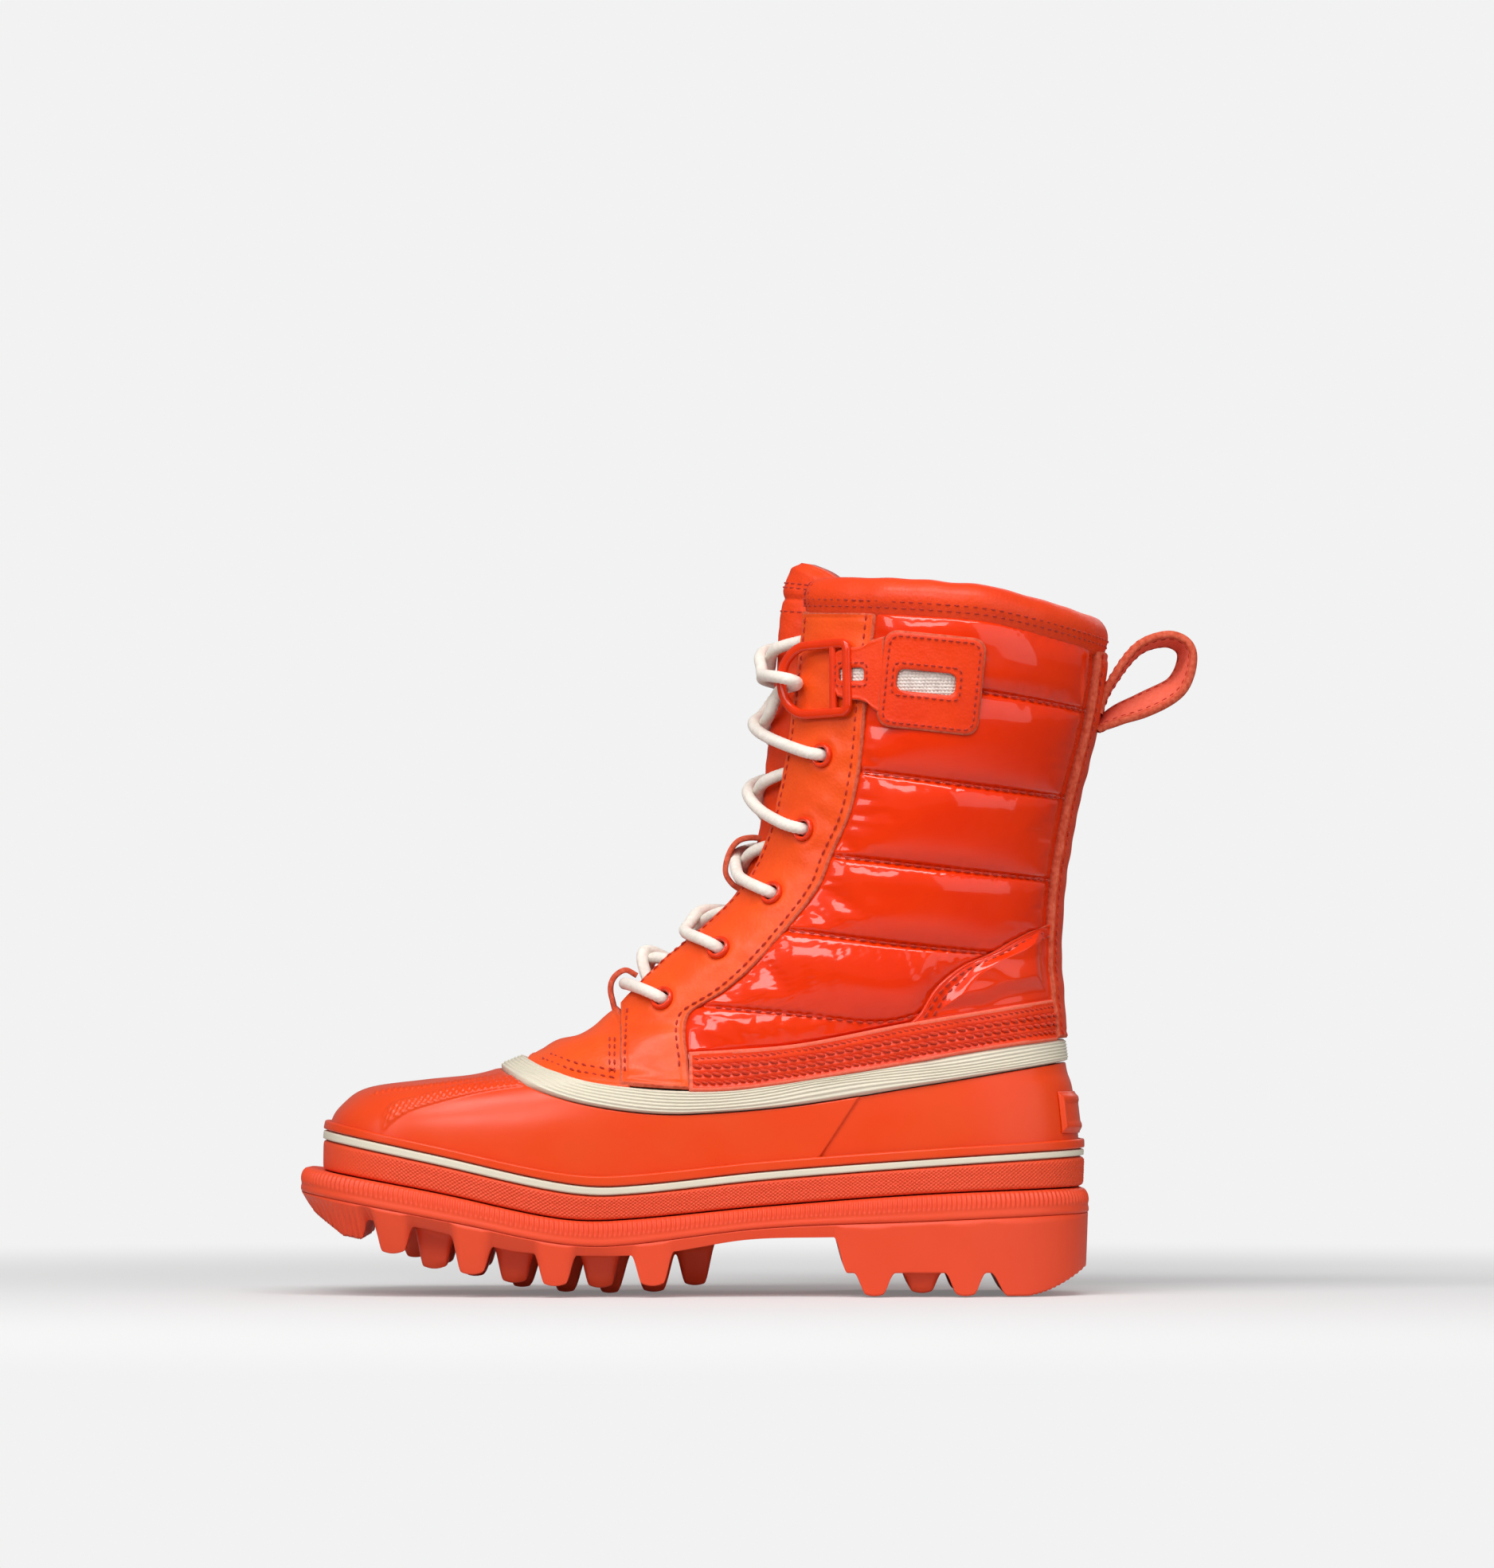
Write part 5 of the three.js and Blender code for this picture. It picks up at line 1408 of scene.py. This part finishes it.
def make_inner_boot():
    """The felt boot inside, 5 mm thick, with the footbed in it and the board under it."""
    a = np.linspace(0, TAU, 220, endpoint=False)

    def wall(v, inset):
        back = -6.6 - 13 * smooth(7.4, 9.4, v) * np.maximum(0, np.cos(a)) ** 2
        return on_face(v, a, back - inset)

    def floor(rise, off):
        return sole_ring(a, level(bumper_top, rise), off + 0 * a)

    levels = np.linspace(2.3, 16.9, 44)
    rows = [spine(a, level(bumper_top, 9.2), -9), floor(9.2, -9), floor(12, -5)]
    rows += [wall(v, 0) for v in levels]
    rows += [wall(17.05, inset) for inset in (0.8, 2.4, 4.0)]
    rows += [wall(v, 5) for v in levels[::-1] if v > 3]
    rows += [floor(14.2, -15), spine(a, level(bumper_top, 14.2), -15)]
    looped_piece("liner", rows, FELT, "felt", "inner_boot")
    sole_pad("footbed_felt", "footbed", -17.2, 14.6, 18.2)
    sole_pad("board", "midsole_board", -7.6, 4.0, 8.5)


# ---- hardware -------------------------------------------------------------------------
METAL = "lacquered_hardware"
# a grommet's section: radius, height over the facing
GROMMET = (
    (2.75, -3.0), (2.75, 0.5), (2.85, 1.0), (3.1, 1.45), (3.5, 1.7), (3.9, 1.68), (4.25, 1.4),
    (4.45, 0.95), (4.5, 0.4), (4.4, -0.5), (3.4, -0.7), (3.3, -3.0), (2.75, -3.0),
)


def make_eyelets(word, side):
    """Five turned eyelets, each square to the facing."""
    for k, (x, z) in enumerate(EYELETS, 1):
        v, a = locate(x, z, side)
        rows = revolve(GROMMET, on_face(v, a, EYESTAY_OFF + 0.15), normal(v, a), 40)
        looped_piece(f"grommet_{word}_{k}", rows, LACQUER, METAL, f"eyelet_{word}_{k}")


RING_MID_Z = 223
RING_HALF = 12.4                      # half the D-ring's height, and its bow's radius
RING_CORNER = 2.4
RING_BAR, RING_BAR_OFF = 38, 3.6      # where the ring's rear bar lies: x and off the face
RING_FRONT, RING_FRONT_OFF = 18.5, 6.8


def ring_plane(side):
    """The D-ring's plane as a function of (forward, up, out), and its reach forward."""
    bar = place(RING_BAR, RING_MID_Z, side, RING_BAR_OFF)
    axis = unit(place(RING_BAR, RING_MID_Z + 10, side, RING_BAR_OFF) - bar)
    front = place(RING_FRONT, RING_MID_Z, side, RING_FRONT_OFF) - bar
    u = unit(front - axis * np.dot(front, axis))
    w = np.cross(axis, u)
    if w[1] * side < 0:
        w = -w

    def spot(forward, up, out):
        return bar + forward[..., None] * u + up[..., None] * axis + out[..., None] * w

    return spot, np.linalg.norm(front)


def ring_bar(soup, spot, path, half, thick, closed):
    """A moulded flat bar with rounded edges along a path in the ring's plane."""
    path = np.array([*path, path[0]] if closed else path, float)
    run = run_of(path)
    points = at_run(path, run, np.linspace(0, run[-1], 150, endpoint=not closed))
    if closed:
        direction = unit(np.roll(points, -2, 0) - np.roll(points, 2, 0))
    else:
        direction = unit(np.gradient(points, axis=0))
    across = np.stack([-direction[:, 1], direction[:, 0]], -1)
    k = np.arange(16) / 16 * TAU
    wide = np.sign(np.cos(k)) * np.abs(np.cos(k)) ** 0.7 * half
    high = np.sign(np.sin(k)) * np.abs(np.sin(k)) ** 0.7 * thick
    grid = points[:, None] + across[:, None] * wide[:, None]
    soup.add(spot(grid[..., 0], grid[..., 1], high + 0 * grid[..., 0]),
             grid_quads(len(points), 16, wrap_n=closed, wrap_m=True))


def arc(x, y, r, start, end, count):
    """Points on a circle about (x, y) between two angles."""
    return [(x + r * math.cos(t), y + r * math.sin(t)) for t in np.linspace(start, end, count)]


def make_d_ring(word, side):
    """The D-ring: its bow and rear bar in one, and the inner bar."""
    spot, reach = ring_plane(side)
    soup = Soup()
    quarter = math.pi / 2
    bow = arc(reach - RING_HALF, 0, RING_HALF, -quarter, quarter, 40)
    corner = arc(RING_CORNER, RING_HALF - RING_CORNER, RING_CORNER, quarter, math.pi, 8)
    rear = corner + [(f, -h) for f, h in corner[::-1]]
    ring_bar(soup, spot, bow + rear, 1.75, 1.4, True)
    ring_bar(soup, spot, [(6.6, 0.8 - RING_HALF), (6.6, RING_HALF - 0.8)], 1.45, 1.2, False)
    soup.piece(f"dee_{word}", [LACQUER], body=f"ring_{word}", stands_for=[f"d_ring_{word}"], slot=METAL)


def rounded(x0, x1, z0, z1, r, count=12):
    """A rounded rectangle's outline, anticlockwise from its lower right corner."""
    out = []
    for k, (x, z) in enumerate(((x1 - r, z0 + r), (x1 - r, z1 - r), (x0 + r, z1 - r), (x0 + r, z0 + r)), -1):
        out += arc(x, z, r, k * math.pi / 2, (k + 1) * math.pi / 2, count)
    return np.array(out)


def even(outline, count):
    """A closed outline's points, evenly spaced by length."""
    closed = np.vstack([outline, outline[:1]])
    run = run_of(closed)
    return at_run(closed, run, np.arange(count) / count * run[-1])


TAB_TILT = math.radians(-6)
TAB_MIDDLE = np.array([66, 221])


def tab_box(*box):
    """A rounded rectangle tilted about the tab's middle."""
    c, s = math.cos(TAB_TILT), math.sin(TAB_TILT)
    d = rounded(*box) - TAB_MIDDLE
    return TAB_MIDDLE + np.stack([d[:, 0] * c - d[:, 1] * s, d[:, 0] * s + d[:, 1] * c], -1)


def frame_plate(soup, outer, inner, side, off, thick, count=240):
    """A plate with one window: a grid between two outlines, its edges of raw leather."""
    o, i = even(outer, count), even(inner, count)
    i = np.roll(i, -np.argmin(np.linalg.norm(i - o[0], axis=1)), axis=0)
    rows = []
    for k in (0, 0.02, 0.05, 0.1, 0.18, 0.3, 0.5, 0.7, 0.85, 0.93, 0.97, 1.0):
        q = mix(o, i, k)
        d = min(k, 1 - k) * 7
        rows.append(place(*q.T, side, off - 0.6 * (1 - smooth(0, 0.8, d)) ** 2 - 0.3 * dip(d - 1.9, 0.6)))
    shown = len(rows) - 1
    rows += [place(*i.T, side, off - thick), place(*o.T, side, off - thick)]
    quads = grid_quads(len(rows), count, wrap_n=True, wrap_m=True)
    row = np.arange(len(quads)) // count
    soup.add(np.array(rows), quads, (row < 2) | (row >= shown))


# the narrow part of the tab's leather, which folds round the D-ring's bar
TAB_NECK = np.array([
    (50.6, 208.5), (50.6, 237.5), (46.5, 236.4), (44.6, 234.8), (42, 233.9), (36.8, 233.6), (34.2, 232.4),
    (33.4, 230), (33.2, 218.6), (34.2, 216.2), (37, 215), (42, 214.6), (44.6, 213.6), (46.5, 211.6),
])


def make_tab(word, side, seams):
    """The leather that holds the D-ring: a plate and a neck, each with a window, and stitching."""
    soup = Soup()
    plate, window = tab_box(49.2, 83.9, 203.6, 238.4, 4.5), tab_box(54.6, 74.8, 217, 224.8, 2.6)
    frame_plate(soup, plate, window, side, 3.9, 2.0)
    frame_plate(soup, TAB_NECK, rounded(35, 43.4, 221.6, 226.4, 1.2), side, 3.6, 1.8)
    soup.piece(f"tab_leather_{word}", [DEEP, SUEDE], stands_for=[f"ring_tab_{word}"], slot="leather")

    def seam(outline, count, off, **sizes):
        loop = even(outline, count)
        stitch_at(seams, *np.vstack([loop, loop[:1]]).T, side, off, **sizes)

    seam(tab_box(51.3, 81.9, 205.5, 236.5, 3.4), 130, 3.75, long=1.9, gap=0.7, radius=0.36)
    seam(tab_box(53.4, 76.4, 215.4, 227, 2.2), 130, 3.75, long=1.9, gap=0.7, radius=0.36)
    seam(rounded(34, 44.6, 219.8, 228.2, 1.5), 60, 3.45, long=1.7, gap=0.6, radius=0.34)


def make_webbing(word, side):
    """The ribbed strap that shows in the tab's two windows."""
    x = np.linspace(35, 77, 200)[:, None] + np.zeros((1, 60))
    z = 223.9 - (x - 42) * 0.105 + (np.linspace(0, 1, 60) - 0.5) * 14.5
    twill = np.cos(TAU * (x + z * 0.3) / 1.3) * np.sign(np.cos(TAU * z / 2.4))
    off = 2.1 + 0.16 * twill + 0.14 * np.cos(TAU * z / 1.2)
    v, a = locate(x, z, side)
    slab_piece(f"strap_{word}", on_face(v, a, off), on_face(v, a, 1.0), [WEB], "webbing", f"webbing_{word}")


# ---- pull loop and keepers -------------------------------------------------------------
# the strap's middle line in the side view, from the backstay up, over and back
LOOP_PATH = (
    (128.6, 211.5), (130.4, 217.4), (133.2, 222.8), (139.6, 232), (145.4, 236.8), (153.6, 238.8),
    (159.0, 236.8), (160.9, 232.6), (159.4, 225.6), (155.4, 220.2), (144.6, 214.6), (136.4, 211.4),
    (130.4, 208), (127.6, 205.6),
)
LOOP_HALF, LOOP_THICK = 8, 2.8
LOOP_ROLL = through([(0, 2), (0.3, 8), (0.55, 18), (0.75, 30), (0.92, 20), (1, 4)])   # degrees, by share


def strap_section(half, thick):
    """Outline of a flat strap's section with rounded corners, as (sideways, up)."""
    return even(rounded(-half, half, -thick / 2, thick / 2, thick * 0.35, 6), 64)


def strap(path, section, step, roll):
    """The rows of a strap about the boot's middle plane, and its middle, side and up directions.

    roll(share) turns its section, in degrees."""
    points, tangents, s = resample([(x, 0, z) for x, z in path], step)
    up = np.stack([-tangents[:, 2], 0 * s, tangents[:, 0]], -1)
    side = np.tile([0, 1.0, 0], (len(s), 1))
    turn = np.radians(roll(s / s[-1]))[:, None]
    up, side = up * np.cos(turn) + side * np.sin(turn), side * np.cos(turn) - up * np.sin(turn)
    grid = points[:, None] + side[:, None] * section[:, :1] + up[:, None] * section[:, 1:]
    return grid, points, side, up


def strap_faces(grid, section, half, thick, inner=0):
    """The strap's quads and their materials: 1 on its cut edges, `inner` on its underside."""
    wide, high = section.T
    which = np.where(np.abs(wide) > half - thick * 0.4, 1, 0)
    if inner:
        which = np.where((high < -1) & (np.abs(wide) < half - 1), inner, which)
    return grid_quads(*grid.shape[:2], wrap_m=True), np.tile(which, len(grid) - 1)


def make_pull_loop():
    """The loop's strap, lined with suede, with a row of stitches along each edge."""
    section = strap_section(LOOP_HALF, LOOP_THICK)
    grid, points, side, up = strap(LOOP_PATH, section, 0.7, LOOP_ROLL)
    soup = Soup()
    soup.add(grid, *strap_faces(grid, section, LOOP_HALF, LOOP_THICK, inner=3))
    threads = Soup()
    for edge in (-5.7, 5.7):
        for turn in (-1, 1):
            stitches(threads, points + side * edge + up * (1.3 * turn), up * turn, long=2.3, radius=0.26)
    soup.add(np.concatenate(threads.points), np.concatenate(threads.quads), 2)
    obj = soup.piece("pull_loop_strap", [LEATHER, SUEDE, THREAD, LINING], body=None,
                     stands_for=["pull_loop"], slot="leather")
    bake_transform(obj)


# each keeper: name, height on the tongue, how far off the face it starts, and its path
# as (up the tongue, out from it)
KEEPER_HALF, KEEPER_THICK = 5, 2.0
KEEPERS = (
    ("keeper_lower", 110.5, 3.2, (
        (-12.5, -9), (-10.2, -5), (-7.8, -1.2), (-5.4, 2.2), (-2.6, 4.2), (0.8, 4.6), (4.0, 3.2), (5.2, -1.0),
    )),
    ("keeper_upper", 156.8, 1.8, (
        (-10.4, -3), (-9.4, 1.6), (-6.4, 5.4), (0, 6.8), (5.6, 5.6), (8.8, 1.6), (10.4, -4),
    )),
)


def make_keepers():
    """The two straps on the tongue that the lace runs under."""
    section = strap_section(KEEPER_HALF, KEEPER_THICK)
    for name, z, off, path in KEEPERS:
        v = ring_at_height(z, 0.0)
        n = normal(v, 0.0)
        up = np.array([n[2], 0, -n[0]])
        spots = [on_face(v, 0.0, off) + up * rise + n * out for rise, out in path]
        grid = strap([(spot[0], spot[2]) for spot in spots], section, 0.5, lambda share: 0 * share)[0]
        soup = Soup()
        soup.add(grid, *strap_faces(grid, section, KEEPER_HALF, KEEPER_THICK))
        soup.piece(f"{name}_strap", [LEATHER, SUEDE], stands_for=[name], slot="leather")


# ---- the lace ----------------------------------------------------------------------------
LACE_R = 2.15
BRAID_PITCH = 2.1
OVER, CROSS, UNDER = 2.7, 4.2, -4.5   # off the tongue, extra when crossing on top, below a facing
BAR_Z, BAR_OFF = 110.5, 3.4           # the lace's middle, in the lower keeper


def crown(z):
    """How far off the boot's front a strand lies when it rests on the tongue's middle."""
    return TONGUE_CROWN(z) + OVER - 0.5


def leg(start, end, side):
    """From a hole on one side, over the tongue and under the other facing to the next hole."""
    (x0, z0), (x1, z1) = start, end
    lift = CROSS if side == OUTER else 0

    def across(share, y, off):
        return over(mix(z0, z1, share), side * y, off)

    def rest(share):
        return crown(mix(z0, z1, share))

    return [
        place(x0, z0, side, -3.4),
        place(x0, z0, side, 2.0),
        place(x0 - 2.8, z0 + 0.6, side, 4.4),
        across(0.2, half_gap(z0) + 0.5, 3.9),
        across(0.34, half_gap(z0) * 0.52, rest(0.34) - 0.4 + lift * 0.7),
        across(0.5, 0, rest(0.5) + lift),
        across(0.66, -half_gap(z1) * 0.5, rest(0.66) - 0.9 + lift * 0.6),
        across(0.82, 0.5 - half_gap(z1), -3.0),
        place(x1 - 4.8, z1 - 2.2, -side, UNDER - 0.5),
    ]


# the turn round the D-ring's bow and the end inside the collar: x, z and off the face
RING_TURN = (
    (14.4, 219.2, 3.2), (18.4, 220.2, 2.6), (22.0, 221, 3.8), (23.4, 221.6, 6.8), (22.2, 222.2, 9.9),
    (18.5, 223, 11.2), (14.4, 224.2, 9.8),
)
TUCKED_END = ((25.5, 238.2, -5.4), (32.5, 235.4, -6), (37, 228, -6.2), (38, 214, -6.2))


def top_of_lacing(start, side):
    """Through the D-ring from behind, round its bow, across and in under the other facing."""
    high = CROSS if side == INNER else 0

    def across(z, share, off):
        return over(z, -side * half_gap(z) * share, off)

    return [
        *leg(start, (RING_FRONT, 219), side)[:7],
        *(place(x, z, -side, off) for x, z, off in RING_TURN),
        across(226, 0.46, crown(226) + 1.0 + high * 0.6),
        across(228.4, 0.22, crown(228.4) + 0.4 + high * 0.85),
        across(231, 0, crown(231) + high),
        across(234.4, -0.4, crown(234.4) - 0.6 + high * 0.7),
        across(237, -0.8, -0.6),
        over(238.6, side * (half_gap(238.6) - 0.2), -4.6),
        *(place(x, z, side, off) for x, z, off in TUCKED_END),
    ]


def lace_half(start):
    """From the lower keeper up one side, through every second hole, to the tucked end."""
    first, second = EYELETS[:2]
    route = [
        over(BAR_Z, start * half_gap(BAR_Z) * 0.9, BAR_OFF),
        place(first[0] - 4, first[1] + 1, start, 4.8),
        place(*first, start, 2.0),
        place(*first, start, -2.8),
        over(114, start * 9.5, -4.2),
        over(120, 0, (CROSS if start == OUTER else 0) + OVER + 0.8),
        over(123.5, -start * 10.5, -4.2),
        place(second[0] - 5.4, second[1] - 3.4, -start, UNDER - 0.3),
    ]
    side = -start
    for lower, upper in zip(EYELETS[1:], EYELETS[2:]):
        route += leg(lower, upper, side)
        side = -side
    return route + top_of_lacing(EYELETS[-1], side)


def braid(s, k):
    """A round braid: strands crossing each other in both directions."""
    one = np.cos(6 * k + TAU * s / BRAID_PITCH)
    two = np.cos(6 * k - TAU * s / BRAID_PITCH)
    return 0.13 * (np.maximum(one, two) - 0.45)


def ring_turn_marks(points):
    """Which of the cord's rows turn round a D-ring: 1 the outer, 2 the inner, 0 neither."""
    marks = np.zeros(len(points), int)
    for mark, (_, side) in enumerate(SIDES, 1):
        spot = place(RING_FRONT, 222, side, RING_FRONT_OFF)
        close = np.linalg.norm(points - spot, axis=1) < 26
        free = (points[:, 0] < 24.5) & (points[:, 1] * side > 6) & (points[:, 2] > 208)
        ids = np.flatnonzero(close & free)
        groups = np.split(ids, np.flatnonzero(np.diff(ids) > 3) + 1)
        marks[max(groups, key=lambda group: np.max(points[group][:, 0]))] = mark
    return marks


def make_lace():
    """One cord in lengths: those round the D-rings stand on their own, the others are attached to the boot.
    """
    route = np.array([*lace_half(OUTER)[::-1], over(BAR_Z, 0, BAR_OFF), *lace_half(INNER)], float)
    step, sides = ((0.42, 20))
    grid = tube(route, LACE_R, step, sides, braid, first=(0, 0.1, 1), soften=3.6)
    marks = ring_turn_marks(grid.mean(1))
    slot = "lace_cord"
    start, count = 0, 0
    for end in [*(np.flatnonzero(np.diff(marks)) + 1), len(grid)]:
        part = grid[max(start - 1, 0):end]
        if marks[start]:
            word, side = SIDES[marks[start] - 1]
            quads = grid_quads(*part.shape[:2], wrap_m=True)
            obj = new_piece(f"lace_turn_{word}", part, quads, [CORD], body=None, slot=slot)
            start_at, end_at = (0.006, 0.008 * side, 0.222), (0.015, 0.021 * side, 0.222)
            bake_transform(obj)
            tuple(start_at)
            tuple(end_at)
        else:
            count += 1
            nodes = ["lace"] if count == 1 else []
            looped_piece(f"lace_{count}", part, CORD, slot, *nodes)
        start = end


def make_aglets():
    """The lace's tips, hidden inside the shaft below the collar."""
    for word, side in SIDES:
        path = [place(x, z, side, -6.2) for x, z in ((37.9, 214.4), (37.4, 204), (36.2, 193))]
        rows = tube(path, 1.9, 0.8, 16, lambda s, k: -0.12 * (np.cos(s * 2) > 0.9) + 0 * k)
        looped_piece(f"tip_{word}", rows, LACQUER, METAL, f"aglet_{word}")


# ---- camera, light and floor ---------------------------------------------------------------
VIEW_HIGH = 0.571                    # what the camera sees from bottom to top, m
SCALE_Y = 0.012                      # how far before the boot's middle it sees just that, m
VIEW_MIDDLE_Z = 0.1855
CAMERA_AWAY = 3.0
CAMERA_Z = 0.10
SENSOR = 36
PALE = linear(242, 242, 242)         # the backdrop
WORLD_LIGHT = 0.26                   # of the backdrop's brightness, as light on the boot
FLOOR_BOUNCE = 0.12                  # of the floor's glow, as light on the boot
FLOOR_GLOW = 0.2                     # how much of the floor near the boot shines by itself
FLOOR_NEAR, FLOOR_FAR = 0.22, 0.75   # over which distances that grows to all of it, m


def make_camera():
    """A level camera square to the boot's outer side."""
    data = bpy.data.cameras.new("camera")
    camera = bpy.data.objects.new("camera", data)
    bpy.context.scene.collection.objects.link(camera)
    camera.location = (0, -CAMERA_AWAY, CAMERA_Z)
    camera.rotation_euler = (math.pi / 2, 0, 0)
    data.sensor_width = SENSOR
    data.lens = SENSOR * (CAMERA_AWAY - SCALE_Y) / VIEW_HIGH
    data.shift_y = (VIEW_MIDDLE_Z - CAMERA_Z) / VIEW_HIGH
    data.dof.use_dof = False
    bpy.context.scene.camera = camera


def area_light(name, where, target, wide, high, power):
    """A rectangular lamp at `where` that faces the target."""
    data = bpy.data.lights.new(name, "AREA")
    data.shape = "RECTANGLE"
    data.size, data.size_y = wide, high
    data.energy = power
    light = bpy.data.objects.new(name, data)
    bpy.context.scene.collection.objects.link(light)
    light.location = where
    light.rotation_euler = (Vector(target) - Vector(where)).to_track_quat("-Z", "Y").to_euler()


def for_camera(tree, otherwise):
    """A strength that is 1 for what the camera sees and less for the light on the boot."""
    rays = tree.nodes.new("ShaderNodeLightPath")
    strength = add_node(tree, "ShaderNodeMapRange", {"To Min": otherwise, "To Max": 1.0})
    tree.links.new(rays.outputs["Is Camera Ray"], strength.inputs["Value"])
    return strength.outputs["Result"]


# name, where it stands, what it faces, width, height, power
LIGHTS = (
    ("top_box", (-0.1, -0.75, 1.3), (0, 0, 0.16), 1.5, 0.35, 16),
    ("front_box", (-0.5, -1.5, 1.0), (-0.05, 0, 0.08), 1.0, 0.5, 10.5),
    ("side_box", (-1.3, -0.9, 0.8), (0, 0, 0.12), 0.35, 0.8, 4),
    ("right_box", (1.15, -1.1, 0.45), (0.02, 0, 0.15), 1.3, 1.5, 7),
    ("back_box", (0.5, 1.2, 0.9), (0, 0, 0.14), 0.8, 0.8, 2.5),
)


def make_lights():
    for light in LIGHTS:
        area_light(*light)
    world = bpy.data.worlds.new("studio")
    bpy.context.scene.world = world
    world.use_nodes = True
    tree = world.node_tree
    back = tree.nodes["Background"]
    back.inputs["Color"].default_value = PALE
    tree.links.new(for_camera(tree, WORLD_LIGHT), back.inputs["Strength"])


def make_floor():
    """A pale sweep: it glows evenly far from the boot and takes its shadow near it."""
    look = Look("floor", (219, 219, 219), 1.0, specular=0.0)
    tree = look.tree
    far = add_node(tree, "ShaderNodeVectorMath", {}, operation="LENGTH")
    look.link(look.coords, far.inputs[0])
    spread = {"From Min": FLOOR_NEAR, "From Max": FLOOR_FAR, "To Min": FLOOR_GLOW, "To Max": 1.0}
    near = add_node(tree, "ShaderNodeMapRange", spread, interpolation_type="SMOOTHSTEP")
    look.link(far.outputs["Value"], near.inputs["Value"])
    plain = add_node(tree, "ShaderNodeEmission", {"Color": PALE})
    look.link(for_camera(tree, FLOOR_BOUNCE), plain.inputs["Strength"])
    mixed = add_node(tree, "ShaderNodeMixShader", {})
    look.link(near.outputs["Result"], mixed.inputs["Fac"])
    look.link(look.shader.outputs["BSDF"], mixed.inputs[1])
    look.link(plain.outputs["Emission"], mixed.inputs[2])
    look.link(mixed.outputs["Shader"], tree.nodes["Material Output"].inputs["Surface"])
    bpy.ops.mesh.primitive_plane_add(size=40, location=(0, 0, -0.0004))
    floor = bpy.context.object
    floor.name = "floor"
    floor.data.materials.append(look.material)
    floor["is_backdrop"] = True


# ---- the boot -------------------------------------------------------------------------------
def main():
    make_camera()
    bpy.context.scene.view_settings.view_transform = "Standard"
    make_bumper()
    make_sole()
    make_foxing()
    make_shell()
    make_heel_patch()
    middle = Soup()
    make_vamp(middle)
    make_backstay(middle)
    make_collar(middle)
    make_tongue(middle)
    middle.piece("stitches_middle", [THREAD], slot="leather")
    for word, side in SIDES:
        rows = Soup()
        make_eyestay(word, side, rows)
        make_quarter(word, side, rows)
        make_heel_counter(word, side, rows)
        make_mudguard(word, side)
        make_eyelets(word, side)
        make_d_ring(word, side)
        make_tab(word, side, rows)
        make_webbing(word, side)
        rows.piece(f"stitches_{word}", [THREAD], slot="leather")
    make_inner_boot()
    make_pull_loop()
    make_keepers()
    make_lace()
    make_aglets()
    make_lights()
    make_floor()


main()
plain = [[[float(c) for c in corner] for corner in box] for box in (start_bounds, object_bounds())]
